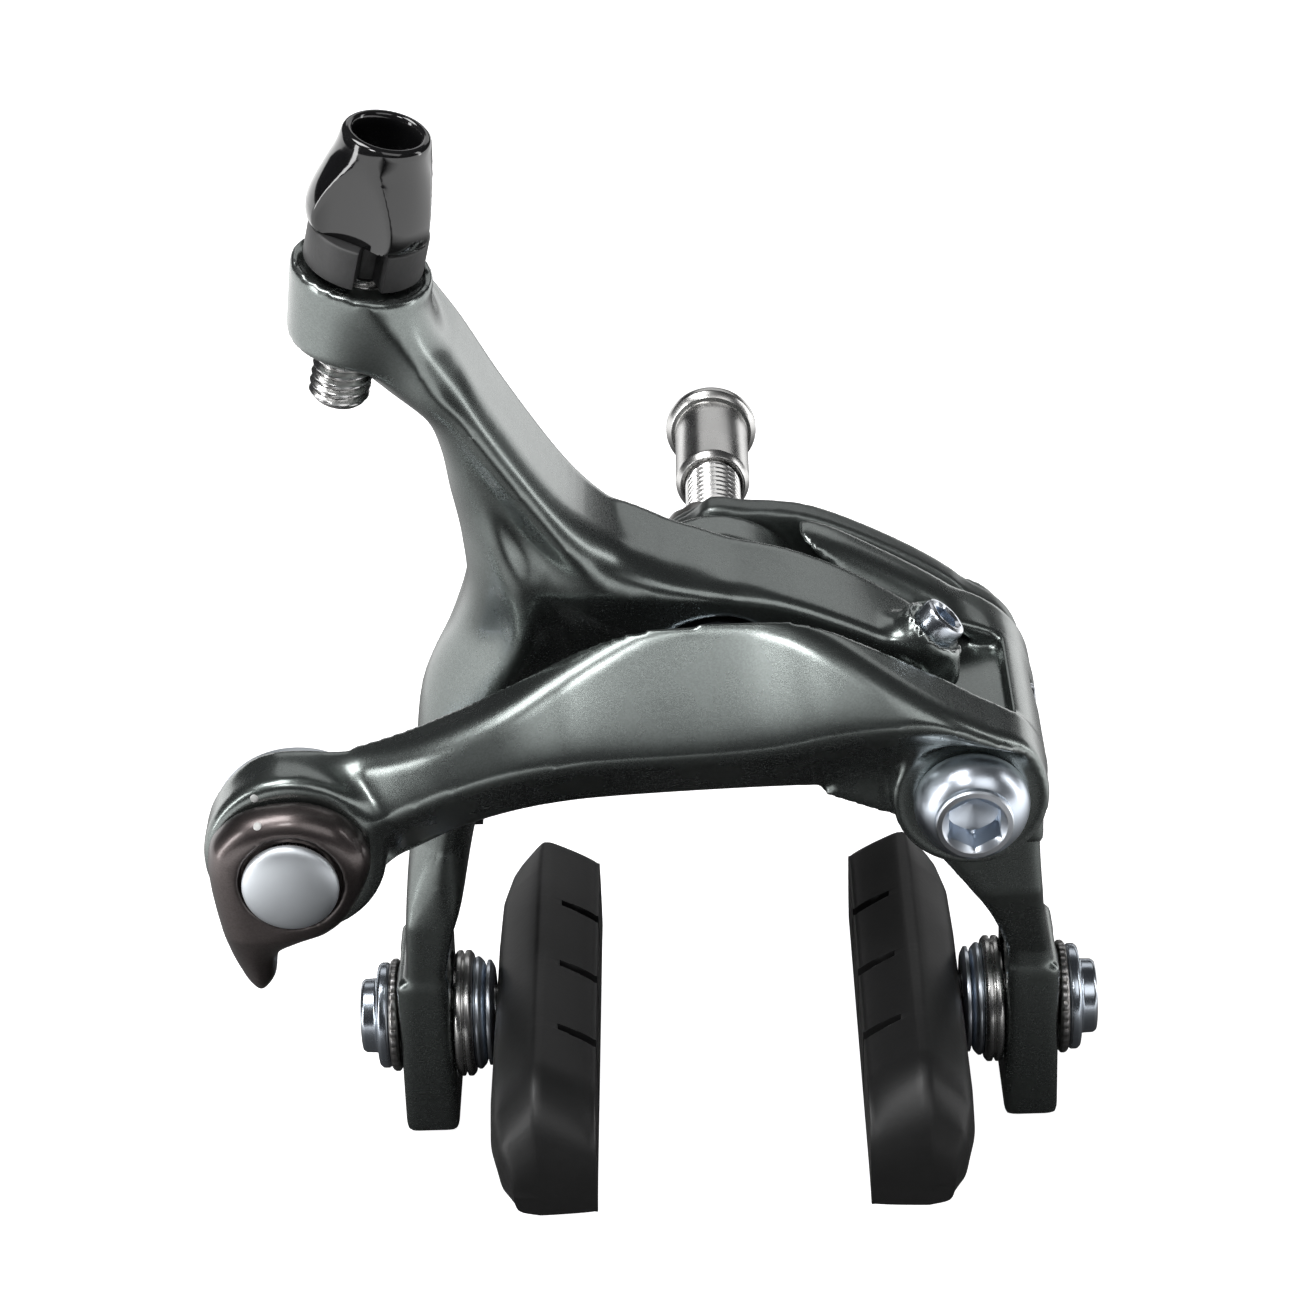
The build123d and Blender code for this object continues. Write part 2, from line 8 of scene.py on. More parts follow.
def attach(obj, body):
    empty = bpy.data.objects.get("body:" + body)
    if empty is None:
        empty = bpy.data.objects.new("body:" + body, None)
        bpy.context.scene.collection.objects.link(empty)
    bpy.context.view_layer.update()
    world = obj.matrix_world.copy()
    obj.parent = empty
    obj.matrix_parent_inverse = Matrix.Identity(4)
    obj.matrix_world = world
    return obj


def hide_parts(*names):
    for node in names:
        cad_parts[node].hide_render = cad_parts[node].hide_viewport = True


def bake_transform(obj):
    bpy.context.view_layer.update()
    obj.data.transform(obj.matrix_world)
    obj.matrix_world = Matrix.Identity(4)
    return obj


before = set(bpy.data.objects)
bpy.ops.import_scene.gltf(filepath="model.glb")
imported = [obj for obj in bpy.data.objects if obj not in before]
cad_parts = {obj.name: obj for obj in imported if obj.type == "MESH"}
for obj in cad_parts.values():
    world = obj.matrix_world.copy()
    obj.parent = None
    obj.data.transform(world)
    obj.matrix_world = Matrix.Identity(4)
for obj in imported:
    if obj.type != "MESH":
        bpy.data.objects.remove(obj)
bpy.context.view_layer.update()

mm = 0.001                         # every size below is in millimetres and meshes are in metres


# numpy helpers

def openCurve(points, steps=8):
    # smooth open curve: a Catmull-Rom cubic through the points, any number of columns
    p = np.asarray(points, float)
    p = np.vstack([2 * p[0] - p[1], p, 2 * p[-1] - p[-2]])
    a, b, c, d = p[:-3], p[1:-2], p[2:-1], p[3:]
    t = np.linspace(0, 1, steps, endpoint=False)[:, None, None]
    q = 0.5 * (2 * b + (c - a) * t + (2 * a - 5 * b + 4 * c - d) * t ** 2 + (3 * b - a - 3 * c + d) * t ** 3)
    return np.vstack([q.transpose(1, 0, 2).reshape(-1, p.shape[1]), p[-2]])


def closedCurve(points, steps=6):
    # the same cubic, run round a closed outline
    p = np.asarray(points, float)
    ring = openCurve(np.vstack([p[-2:], p, p[:2]]), steps)
    return ring[2 * steps:(2 + len(p)) * steps]


def outlineDistance(points, x, z, smooth=True):
    # distance in the x-z plane to a closed outline, negative inside; crossings to the right give the side
    p = closedCurve(points) if smooth else np.asarray(points, float)
    best, crossed = np.full(np.broadcast(x, z).shape, 1e9), np.zeros(np.broadcast(x, z).shape, bool)
    for (ax, az), (bx, bz) in zip(p, np.roll(p, -1, 0)):
        ux, uz = bx - ax, bz - az
        t = np.clip(((x - ax) * ux + (z - az) * uz) / (ux * ux + uz * uz + 1e-12), 0, 1)
        best = np.minimum(best, np.hypot(x - ax - t * ux, z - az - t * uz))
        if bz != az:
            crossed ^= ((az > z) != (bz > z)) & (x < ax + ux * (z - az) / (bz - az))
    return np.where(crossed, -best, best)


def roof(points, x, z, slope, soft):
    # height field under a ridge line of (x, z, y) points: the ridge's y plus slope times the distance from it
    p = openCurve(points, 6)
    best = np.full(np.broadcast(x, z).shape, 1e9)
    for a, b in zip(p[:-1], p[1:]):
        ux, uz = b[0] - a[0], b[1] - a[1]
        t = np.clip(((x - a[0]) * ux + (z - a[1]) * uz) / (ux * ux + uz * uz + 1e-12), 0, 1)
        away = np.hypot(x - a[0] - t * ux, z - a[1] - t * uz)
        best = np.minimum(best, a[2] + (b[2] - a[2]) * t + slope * (np.sqrt(away ** 2 + soft ** 2) - soft))
    return best


def softMin(a, b, r):
    # the smaller of two fields, rounded over a distance r where they meet
    h = np.clip(0.5 + 0.5 * (b - a) / r, 0, 1)
    return b + (a - b) * h - r * h * (1 - h)


def softMax(a, b, r):
    return -softMin(-a, -b, r)


def axesOf(up):
    # a frame whose third axis is up and whose first lies as near +X as it can
    up = np.asarray(up, float) / np.linalg.norm(up)
    first = np.array([1.0, 0, 0]) if abs(up[0]) < 0.9 else np.array([0, 1.0, 0])
    first = first - up * (first @ up)
    first /= np.linalg.norm(first)
    return first, np.cross(up, first), up


def localTo(grid, origin, up):
    # height along an axis and distance from it, for every grid point
    d = [g - o for g, o in zip(grid, origin)]
    u = np.asarray(up, float) / np.linalg.norm(up)
    h = sum(a * b for a, b in zip(d, u))
    return h, np.sqrt(np.maximum(sum(a * a for a in d) - h * h, 0))


def rodField(grid, origin, up, radius, low, high, soft=0.6):
    # solid cylinder, or a cone where radius is (at low, at high), with rounded ends
    h, away = localTo(grid, origin, up)
    if isinstance(radius, tuple):
        radius = radius[0] + (radius[1] - radius[0]) * np.clip((h - low) / (high - low), 0, 1)
    return softMax(away - radius, np.maximum(low - h, h - high), soft)


def discField(grid, centre, radius, back, front, soft=0.6):
    # disc along y, given by its x-z centre and its two y faces
    x, y, z = grid
    return softMax(np.hypot(x - centre[0], z - centre[1]) - radius, np.maximum(y - back, front - y), soft)


def boxField(grid, low, high, soft):
    # box with rounded edges: distance to the smaller box, less the rounding
    q = [np.abs(g - (a + b) / 2) - (b - a) / 2 + soft for g, a, b in zip(grid, low, high)]
    outside = np.sqrt(sum(np.maximum(a, 0) ** 2 for a in q))
    return outside + np.minimum(np.maximum(np.maximum(q[0], q[1]), q[2]), 0) - soft


def slabField(flat, y, back, front, soft):
    return softMax(flat, np.maximum(y - back, front - y), soft)


def gridOver(low, high, step):
    axes = [np.arange(a, b + step, step) for a, b in zip(low, high)]
    return axes[0][:, None, None], axes[1][None, :, None], axes[2][None, None, :]


def surfaceNet(field, low, step):
    # one vertex in each cell that the zero surface crosses, at the mean of its edge crossings, and a
    # face round each grid edge that changes sign
    inside = field < 0
    n = np.array(field.shape) - 1
    offsets = np.array([[i, j, k] for i in (0, 1) for j in (0, 1) for k in (0, 1)])
    count = sum(inside[i:n[0] + i, j:n[1] + j, k:n[2] + k].astype(np.int8) for i, j, k in offsets)
    active = (count > 0) & (count < 8)
    cells = np.argwhere(active)
    index = np.full(active.shape, -1)
    index[active] = np.arange(len(cells))
    values = np.stack([field[tuple((cells + o).T)] for o in offsets], 1)
    total, hits = np.zeros((len(cells), 3)), np.zeros(len(cells))
    pairs = [(a, b) for a in range(8) for b in range(a + 1, 8)]
    for a, b in [(a, b) for a, b in pairs if np.abs(offsets[a] - offsets[b]).sum() == 1]:
        cross = (values[:, a] < 0) != (values[:, b] < 0)
        t = np.where(cross, values[:, a] / np.where(cross, values[:, a] - values[:, b], 1), 0)
        total += cross[:, None] * (offsets[a] + t[:, None] * (offsets[b] - offsets[a]))
        hits += cross
    points = np.asarray(low) + (cells + total / hits[:, None]) * step
    quads = []
    for axis in range(3):
        u, v = np.eye(3, dtype=int)[(axis + 1) % 3], np.eye(3, dtype=int)[(axis + 2) % 3]
        first, second = np.delete(inside, -1, axis), np.delete(inside, 0, axis)
        edges = np.argwhere(first != second)
        ring = [index[tuple((edges - s).T)] for s in (0 * u, u, u + v, v)]
        faces = np.stack(ring, 1)
        outward = first[tuple(edges.T)]
        quads.append(np.where(outward[:, None], faces, faces[:, ::-1]))
    return points, np.vstack(quads)


def edgesOf(faces):
    # every face edge as a pair of vertex numbers, both ways round
    pairs = np.vstack([np.stack([f, np.roll(f, -1, 1)], 2).reshape(-1, 2) for f in faces])
    return np.vstack([pairs, pairs[:, ::-1]])


def meanOfNeighbours(values, pairs, count):
    weight = np.bincount(pairs[:, 0], minlength=count).clip(1)
    total = [np.bincount(pairs[:, 0], column[pairs[:, 1]], count) for column in values.T]
    return np.stack(total, 1) / weight[:, None]


def relaxed(points, quads, rounds):
    # smoothing that keeps its volume: a step towards the neighbours' mean, then a slightly larger one back
    pairs = edgesOf([quads])
    for _ in range(rounds):
        for share in (0.5, -0.52):
            points = points + share * (meanOfNeighbours(points, pairs, len(points)) - points)
    return points


def crestOf(points, faces):
    # how convex the surface is at each vertex, from 0 to 1: the neighbours' mean lies behind a crest
    normal = np.zeros_like(points)
    for f in faces:
        across = np.cross(points[f[:, 2]] - points[f[:, 0]], points[f[:, -1]] - points[f[:, 1]])
        for corner in f.T:
            normal += np.stack([np.bincount(corner, c, len(points)) for c in across.T], 1)
    normal /= np.linalg.norm(normal, axis=1, keepdims=True).clip(1e-12)
    pairs = edgesOf(faces)
    length = np.linalg.norm(points[pairs[:, 0]] - points[pairs[:, 1]], axis=1)
    edges = np.bincount(pairs[:, 0], minlength=len(points)).clip(1)
    size = np.bincount(pairs[:, 0], length, len(points)) / edges
    bend = -((meanOfNeighbours(points, pairs, len(points)) - points) * normal).sum(1) / size.clip(1e-6) ** 2
    for _ in range(2):
        bend = 0.5 * bend + 0.5 * meanOfNeighbours(bend[:, None], pairs, len(points))[:, 0]
    return np.clip(bend / 0.5, 0, 1)


def addPiece(name, points, faces, body, nodes, material, sharp=35):
    # points in mm and a list of face arrays (quads, triangles) become a finished, smooth shaded object
    faces = [f for f in faces if len(f)]
    mesh = bpy.data.meshes.new(name)
    mesh.from_pydata((points * mm).tolist(), [], [row for f in faces for row in f.tolist()])
    mesh.validate()
    mesh.shade_smooth()
    if sharp:
        mesh.set_sharp_from_angle(angle=math.radians(sharp))
    crest = mesh.attributes.new("crest", "FLOAT", "POINT")
    crest.data.foreach_set("value", crestOf(points, faces).astype(np.float32))
    piece = bpy.data.objects.new(name, mesh)
    bpy.context.scene.collection.objects.link(piece)
    mesh.materials.append(material)
    if body:
        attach(piece, body)
    if nodes:
        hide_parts(*nodes)
    return piece


def gridFaces(rows, cols, wrapRows=False):
    # quads of a rows by cols grid whose columns close on themselves
    i = np.arange(rows if wrapRows else rows - 1)[:, None]
    j = np.arange(cols)[None, :]
    k, n = (i + 1) % rows, (j + 1) % cols
    return np.stack([i * cols + j, i * cols + n, k * cols + n, k * cols + j], 2).reshape(-1, 4)


def softCorners(profile, bevel, steps=3):
    # each inner corner of an (r, h) profile becomes a small quadratic curve
    p = np.asarray(profile, float)
    out = [p[:1]]
    t = np.linspace(0, 1, steps + 1)[:, None]
    for a, b, c in zip(p[:-2], p[1:-1], p[2:]):
        cut = min(bevel, 0.45 * np.hypot(*(a - b)), 0.45 * np.hypot(*(c - b)))
        s = b + (a - b) / max(np.hypot(*(a - b)), 1e-9) * cut
        e = b + (c - b) / max(np.hypot(*(c - b)), 1e-9) * cut
        out.append((1 - t) ** 2 * s + 2 * t * (1 - t) * b + t ** 2 * e)
    return np.vstack(out + [p[-1:]])


def hexRadius(theta, flats, corner=9.0):
    # distance from the axis to a hexagon's side at each angle, cut off at the rounded corners
    return np.minimum(flats / 2 / np.cos((theta + math.pi / 6) % (math.pi / 3) - math.pi / 6), corner)


def revolved(profile, origin, up, columns, reshape):
    # the profile's (r, h) rows carried round an axis, as a grid of points with one row for each profile point
    theta = np.linspace(0, 2 * math.pi, columns, endpoint=False)[None, :]
    r, h = profile[:, :1] + 0 * theta, profile[:, 1:2] + 0 * theta
    if reshape:
        r, h = reshape(theta, r, h)
    x, y, z = axesOf(up)
    return (np.asarray(origin) + (r * np.cos(theta))[..., None] * x + (r * np.sin(theta))[..., None] * y
            + h[..., None] * z)


def closedEnds(rings):
    # a grid of closed rings becomes points, quads and the triangles that close both ends at a middle point
    rows, columns = rings.shape[:2]
    j = np.arange(columns)
    n, last, pole = (j + 1) % columns, (rows - 1) * columns, np.full(columns, rows * columns)
    caps = np.vstack([np.stack([n, j, pole], 1), np.stack([last + j, last + n, pole + 1], 1)])
    points = np.vstack([rings.reshape(-1, 3), rings[0].mean(0), rings[-1].mean(0)])
    return points, [gridFaces(rows, columns), caps]


def turned(profile, origin, up, columns=72, reshape=None):
    # surface of revolution: theta round the axis and the profile's (r, h) along it, closed at both poles;
    # reshape(theta, r, h) returns new r and h, for flats, flutes, teeth and threads
    return closedEnds(revolved(np.asarray(profile, float), origin, up, columns, reshape))


def ringPiece(outer, inner, low, high, bevel=0.15):
    # profile of a washer, from the inner edge round the outside and back: closed by its own seam
    return softCorners([(inner, (low + high) / 2), (inner, low), (outer, low), (outer, high), (inner, high),
                        (inner, (low + high) / 2)], bevel)


def revolvedRing(profile, origin, up, columns=72, reshape=None):
    # like turned, but the profile is a closed loop, so there are no poles
    profile = np.asarray(profile, float)[:-1]
    ring = revolved(profile, origin, up, columns, reshape)
    return ring.reshape(-1, 3), [gridFaces(len(profile), columns, True)]


def boltThread(low, high, radius, depth, pitch):
    # straight line of (r, h) rows, close enough together to carry a thread
    return [(radius - depth / 2, h) for h in np.arange(low, high + 1e-6, pitch / 8)]


def threadShape(low, high, depth, pitch):
    # helix: the radius swings by half the depth with height less a turn's share of the pitch, and fades at
    # both ends
    def shape(theta, r, h):
        wave = np.abs(((h / pitch - theta / (2 * math.pi)) % 1) * 2 - 1) * 2 - 1
        fade = np.clip((h - low) / pitch, 0, 1) * np.clip((high - h) / pitch, 0, 1)
        return r + depth / 2 * np.clip(1.35 * wave, -1, 1) * fade, h
    return shape


# shader node helpers and shared groups

def newGroup(name, inputs, outputs):
    # empty shader group with float, vector or colour sockets: name -> (type, value)
    group = bpy.data.node_groups.new(name, "ShaderNodeTree")
    kinds = {"float": "NodeSocketFloat", "vector": "NodeSocketVector", "color": "NodeSocketColor"}
    for label, (kind, value) in inputs.items():
        made = group.interface.new_socket(label, in_out="INPUT", socket_type=kinds[kind])
        if value is not None:
            made.default_value = value
    for label, kind in outputs.items():
        group.interface.new_socket(label, in_out="OUTPUT", socket_type=kinds[kind])
    return group, group.nodes.new("NodeGroupInput"), group.nodes.new("NodeGroupOutput")


def put(tree, kind, links=None, **settings):
    # adds a node, sets its own settings, then fills its inputs with values or links
    node = tree.nodes.new(kind)
    for key, value in settings.items():
        setattr(node, key, value)
    for key, value in (links or {}).items():
        if isinstance(value, bpy.types.NodeSocket):
            tree.links.new(value, node.inputs[key])
        else:
            node.inputs[key].default_value = value
    return node


def maths(tree, operation, a, b=0.0, clamp=False):
    return put(tree, "ShaderNodeMath", {0: a, 1: b}, operation=operation, use_clamp=clamp).outputs[0]


def noise(tree, vector, scale, detail=3.0, roughness=0.5):
    return put(tree, "ShaderNodeTexNoise", {"Vector": vector, "Scale": scale, "Detail": detail,
                                            "Roughness": roughness}).outputs["Fac"]


def mixColors(tree, factor, a, b):
    node = put(tree, "ShaderNodeMix", data_type="RGBA")
    for socket, value in ((node.inputs[0], factor), (node.inputs[6], a), (node.inputs[7], b)):
        if isinstance(value, bpy.types.NodeSocket):
            tree.links.new(value, socket)
        else:
            socket.default_value = value
    return node.outputs[2]


def makeEdgeWear():
    # convex edges, broken up by two sizes of noise, from 0 on a flat to 1 where the finish has rubbed through
    tree, given, out = newGroup("edgeWear", {"Vector": ("vector", None), "Start": ("float", 0.35),
                                             "Amount": ("float", 1.0)}, {"Mask": "float"})
    crest = put(tree, "ShaderNodeAttribute", attribute_name="crest").outputs["Fac"]
    broken = maths(tree, "MULTIPLY", noise(tree, given.outputs["Vector"], 420.0), 0.45)
    fine = maths(tree, "MULTIPLY", noise(tree, given.outputs["Vector"], 2600.0), 0.25)
    worn = maths(tree, "ADD", crest, maths(tree, "SUBTRACT", maths(tree, "ADD", broken, fine), 0.35))
    mask = put(tree, "ShaderNodeMapRange", {"Value": worn, "From Min": given.outputs["Start"],
                                            "From Max": 1.1}).outputs[0]
    amount = given.outputs["Amount"]
    tree.links.new(maths(tree, "MULTIPLY", mask, amount, True), out.inputs["Mask"])
    return tree


def makeFlake():
    # metallic paint: cells of slightly different tone, a slow drift of tone, and a fine orange peel height
    tree, given, out = newGroup("paintFlake", {"Vector": ("vector", None), "Flake Scale": ("float", 5200.0)},
                                {"Tone": "float", "Height": "float", "Haze": "float"})
    cells = put(tree, "ShaderNodeTexVoronoi", {"Vector": given.outputs["Vector"],
                                               "Scale": given.outputs["Flake Scale"]})
    shade = put(tree, "ShaderNodeSeparateColor", {0: cells.outputs["Color"]}).outputs[0]
    spread = maths(tree, "SUBTRACT", shade, 0.5)
    drift = maths(tree, "SUBTRACT", noise(tree, given.outputs["Vector"], 60.0, 2.0), 0.5)
    tone = maths(tree, "ADD", maths(tree, "MULTIPLY", spread, 0.2), maths(tree, "MULTIPLY", drift, 0.25))
    tree.links.new(maths(tree, "ADD", tone, 1.0), out.inputs["Tone"])
    peel = noise(tree, given.outputs["Vector"], 900.0, 2.0)
    tree.links.new(maths(tree, "ADD", peel, maths(tree, "MULTIPLY", spread, 0.2)), out.inputs["Height"])
    tree.links.new(noise(tree, given.outputs["Vector"], 140.0, 4.0, 0.6), out.inputs["Haze"])
    return tree


def makeHandling():
    # how a metal surface has been handled: soft blotches and short fine scratches, as values about 0
    tree, given, out = newGroup("handling", {"Vector": ("vector", None), "Scratch Scale": ("float", 1.0)},
                                {"Blotch": "float", "Scratch": "float"})
    tree.links.new(maths(tree, "SUBTRACT", noise(tree, given.outputs["Vector"], 220.0, 4.0, 0.6), 0.5),
                   out.inputs["Blotch"])
    total = None
    for turn, stretch in ((0.5, (220.0, 5200.0, 5200.0)), (1.9, (5200.0, 220.0, 5200.0))):
        place = put(tree, "ShaderNodeMapping", {"Vector": given.outputs["Vector"],
                                                "Rotation": (turn, 0.4, turn), "Scale": stretch}).outputs[0]
        lines = put(tree, "ShaderNodeMapRange", {"Value": noise(tree, place, 1.0, 1.0), "From Min": 0.62,
                                                 "From Max": 0.8}).outputs[0]
        total = lines if total is None else maths(tree, "MAXIMUM", total, lines)
    tree.links.new(maths(tree, "MULTIPLY", total, given.outputs["Scratch Scale"]), out.inputs["Scratch"])
    return tree


def makeLathe():
    # turning marks: fine lines in the height, from a noise of the distance to the frame's origin
    tree, given, out = newGroup("turningMarks", {"Vector": ("vector", None),
                                                 "Rings Per Metre": ("float", 4000.0)}, {"Height": "float"})
    length = put(tree, "ShaderNodeVectorMath", {0: given.outputs["Vector"]}, operation="LENGTH")
    value = maths(tree, "MULTIPLY", length.outputs["Value"], given.outputs["Rings Per Metre"])
    line = put(tree, "ShaderNodeTexNoise", {"W": value, "Scale": 1.0, "Detail": 2.0}, noise_dimensions="1D")
    tree.links.new(line.outputs["Fac"], out.inputs["Height"])
    return tree


groups = {"wear": makeEdgeWear(), "flake": makeFlake(), "handling": makeHandling(), "lathe": makeLathe()}


def useGroup(tree, name, **values):
    node = tree.nodes.new("ShaderNodeGroup")
    node.node_tree = groups[name]
    for key, value in values.items():
        label = key.replace("_", " ")
        if isinstance(value, bpy.types.NodeSocket):
            tree.links.new(value, node.inputs[label])
        else:
            node.inputs[label].default_value = value
    return node


def newMaterial(name, **fixed):
    # a Principled material with its constant values set straight on the shader's sockets
    material = bpy.data.materials.new(name)
    material.use_nodes = True
    tree = material.node_tree
    shader = tree.nodes["Principled BSDF"]
    for key, value in fixed.items():
        shader.inputs[key.replace("_", " ")].default_value = value
    place = tree.nodes.new("ShaderNodeTexCoord").outputs["Object"]
    return material, tree, shader, place


def bump(tree, shader, height, distance, strength=1.0):
    node = put(tree, "ShaderNodeBump", {"Height": height, "Distance": distance, "Strength": strength})
    tree.links.new(node.outputs[0], shader.inputs["Normal"])


def scaled(tree, color, factor):
    # a colour times a value that changes over the surface
    node = put(tree, "ShaderNodeVectorMath", {0: color[:3], 1: factor}, operation="MULTIPLY")
    return node.outputs[0]


def metallicPaint(name, look):
    # base colour times flake tone, wearing through to bare metal on the crests, under a thin clear coat
    material, tree, shader, place = newMaterial(name, Metallic=look["metallic"], Coat_Weight=look["coat"],
                                                Coat_Roughness=look["coatRough"], Coat_IOR=1.5)
    flake = useGroup(tree, "flake", Vector=place, Flake_Scale=look["flake"])
    wear = useGroup(tree, "wear", Vector=place, Start=look["wearStart"], Amount=look["wear"])
    handling = useGroup(tree, "handling", Vector=place, Scratch_Scale=look["scratch"])
    tone = put(tree, "ShaderNodeCombineXYZ", {i: flake.outputs["Tone"] for i in range(3)}).outputs[0]
    paint = scaled(tree, look["color"], tone)
    tree.links.new(mixColors(tree, wear.outputs["Mask"], paint, look["bare"]), shader.inputs["Base Color"])
    haze = maths(tree, "MULTIPLY", maths(tree, "SUBTRACT", flake.outputs["Haze"], 0.5), 0.10)
    rough = maths(tree, "ADD", haze, look["rough"])
    rough = maths(tree, "ADD", rough, maths(tree, "MULTIPLY", handling.outputs["Scratch"], 0.12), True)
    tree.links.new(rough, shader.inputs["Roughness"])
    bump(tree, shader, flake.outputs["Height"], look["peel"] * mm, 0.4)
    return material


def bareMetal(name, look):
    # metal with blotches in its tone, scratches, and turning marks in its height
    material, tree, shader, place = newMaterial(name, Metallic=1.0)
    handling = useGroup(tree, "handling", Vector=place, Scratch_Scale=look["scratch"])
    wear = useGroup(tree, "wear", Vector=place, Start=0.5, Amount=look["wear"])
    tone = maths(tree, "ADD", maths(tree, "MULTIPLY", handling.outputs["Blotch"], look["blotch"]), 1.0)
    tone = put(tree, "ShaderNodeCombineXYZ", {i: tone for i in range(3)}).outputs[0]
    metal = scaled(tree, look["color"], tone)
    tree.links.new(mixColors(tree, wear.outputs["Mask"], metal, look["bare"]), shader.inputs["Base Color"])
    rough = maths(tree, "ADD", maths(tree, "MULTIPLY", handling.outputs["Blotch"], 0.12), look["rough"])
    rough = maths(tree, "ADD", rough, maths(tree, "MULTIPLY", handling.outputs["Scratch"], 0.1), True)
    tree.links.new(rough, shader.inputs["Roughness"])
    rings = useGroup(tree, "lathe", Vector=place, Rings_Per_Metre=look["rings"])
    groove = maths(tree, "MULTIPLY", handling.outputs["Scratch"], -0.6)
    height = maths(tree, "ADD", rings.outputs["Height"], groove)
    bump(tree, shader, height, look["relief"] * mm, 0.5)
    return material


def mouldedPlastic(name, look):
    # plastic or rubber: a grain in its height, a slow tone drift, and dull crests where it has been touched
    material, tree, shader, place = newMaterial(name, Coat_Weight=look.get("coat", 0.0), Coat_Roughness=0.08,
                                                Specular_IOR_Level=look.get("specular", 0.5),
                                                Sheen_Weight=look.get("sheen", 0.0), Sheen_Roughness=0.5)
    wear = useGroup(tree, "wear", Vector=place, Start=0.3, Amount=look["wear"])
    drift = noise(tree, place, look["driftScale"], 4.0, 0.6)
    base = mixColors(tree, drift, look["color"], look["other"])
    tree.links.new(mixColors(tree, wear.outputs["Mask"], base, look["worn"]), shader.inputs["Base Color"])
    spread = maths(tree, "MULTIPLY", maths(tree, "SUBTRACT", drift, 0.5), look["roughSpread"])
    rough = maths(tree, "ADD", spread, look["rough"], True)
    tree.links.new(rough, shader.inputs["Roughness"])
    bump(tree, shader, noise(tree, place, look["grainScale"], 2.0), look["grain"] * mm, 0.7)
    return material


armLook = {"color": (0.190, 0.210, 0.203, 1), "bare": (0.55, 0.57, 0.57, 1), "metallic": 0.92, "rough": 0.27,
           "coat": 0.35, "coatRough": 0.10, "flake": 7200.0, "wearStart": 0.62, "wear": 0.35, "scratch": 0.3,
           "peel": 0.0008}
leverLook = dict(armLook, color=(0.120, 0.102, 0.100, 1), bare=(0.35, 0.33, 0.32, 1), rough=0.34, wear=0.25)
bracketLook = dict(armLook, color=(0.16, 0.175, 0.17, 1), rough=0.38, coat=0.1)
polishedLook = {"color": (0.70, 0.76, 0.84, 1), "bare": (0.9, 0.9, 0.92, 1), "rough": 0.31, "scratch": 0.3,
                "blotch": 0.12, "wear": 0.5, "rings": 5200.0, "relief": 0.003}
stainlessLook = dict(polishedLook, color=(0.60, 0.595, 0.585, 1), rough=0.27, rings=4200.0, relief=0.003)
zincLook = dict(polishedLook, color=(0.62, 0.68, 0.76, 1), rough=0.24, blotch=0.2, relief=0.003)
springLook = dict(polishedLook, color=(0.33, 0.32, 0.31, 1), rough=0.34, relief=0.003)
capLook = dict(polishedLook, color=(0.78, 0.82, 0.86, 1), rough=0.48, rings=9000.0, relief=0.004)
knobLook = {"color": (0.004, 0.004, 0.0045, 1), "other": (0.009, 0.009, 0.0095, 1),
            "worn": (0.03, 0.03, 0.03, 1), "wear": 0.25, "driftScale": 160.0, "rough": 0.09,
            "roughSpread": 0.05, "grainScale": 1500.0,
            "grain": 0.002, "coat": 0.6}
collarLook = dict(knobLook, color=(0.018, 0.018, 0.019, 1), other=(0.035, 0.035, 0.036, 1), rough=0.5,
                  worn=(0.10, 0.10, 0.10, 1), wear=0.6, grainScale=2600.0, grain=0.03, coat=0.0)
bushLook = dict(collarLook, color=(0.62, 0.58, 0.5, 1), other=(0.68, 0.65, 0.58, 1), worn=(0.5, 0.47, 0.4, 1))
rubberLook = {"color": (0.009, 0.009, 0.0092, 1), "other": (0.016, 0.016, 0.0163, 1),
              "worn": (0.05, 0.05, 0.05, 1), "wear": 0.35, "driftScale": 190.0, "rough": 0.42,
              "roughSpread": 0.12, "grainScale": 2100.0,
              "grain": 0.016, "specular": 0.45, "sheen": 0.05}
dotLook = dict(collarLook, color=(0.8, 0.8, 0.78, 1), other=(0.7, 0.7, 0.69, 1), worn=(0.6, 0.6, 0.6, 1),
               rough=0.4)

paintArm = metallicPaint("satin gunmetal paint", armLook)
paintLever = metallicPaint("dark satin paint", leverLook)
paintBracket = metallicPaint("satin bracket paint", bracketLook)
polishedSteel = bareMetal("polished steel", polishedLook)
brushedSteel = bareMetal("turned stainless steel", stainlessLook)
zincSteel = bareMetal("bright zinc plate", zincLook)
springSteel = bareMetal("spring wire", springLook)
capMetal = bareMetal("satin aluminium", capLook)
glossPlastic = mouldedPlastic("gloss black plastic", knobLook)
grainedPlastic = mouldedPlastic("grained black plastic", collarLook)
bushPlastic = mouldedPlastic("natural bearing plastic", bushLook)
padRubber = mouldedPlastic("brake pad rubber", rubberLook)
dotPaint = mouldedPlastic("white dot paint", dotLook)
print("materials ready")


# Y arm: barrel arm, left leg and the branch that ends under the centering screw

adjusterUp = np.array([math.tan(math.radians(13.8)), -math.tan(math.radians(6.0)), 1.0])
adjusterUp /= np.linalg.norm(adjusterUp)
adjusterBase = np.array([-32.1, -25.0, 45.7])
screwUp = np.array([math.cos(math.radians(47.5)), 0, math.sin(math.radians(47.5))])
screwHead = np.array([22.3, -24.2, 5.0])
shoeY, shoeZ = -20.0, -44.0     # where the shoe studs cross the legs
shoeTravel, slotRadius = 4.0, 3.2


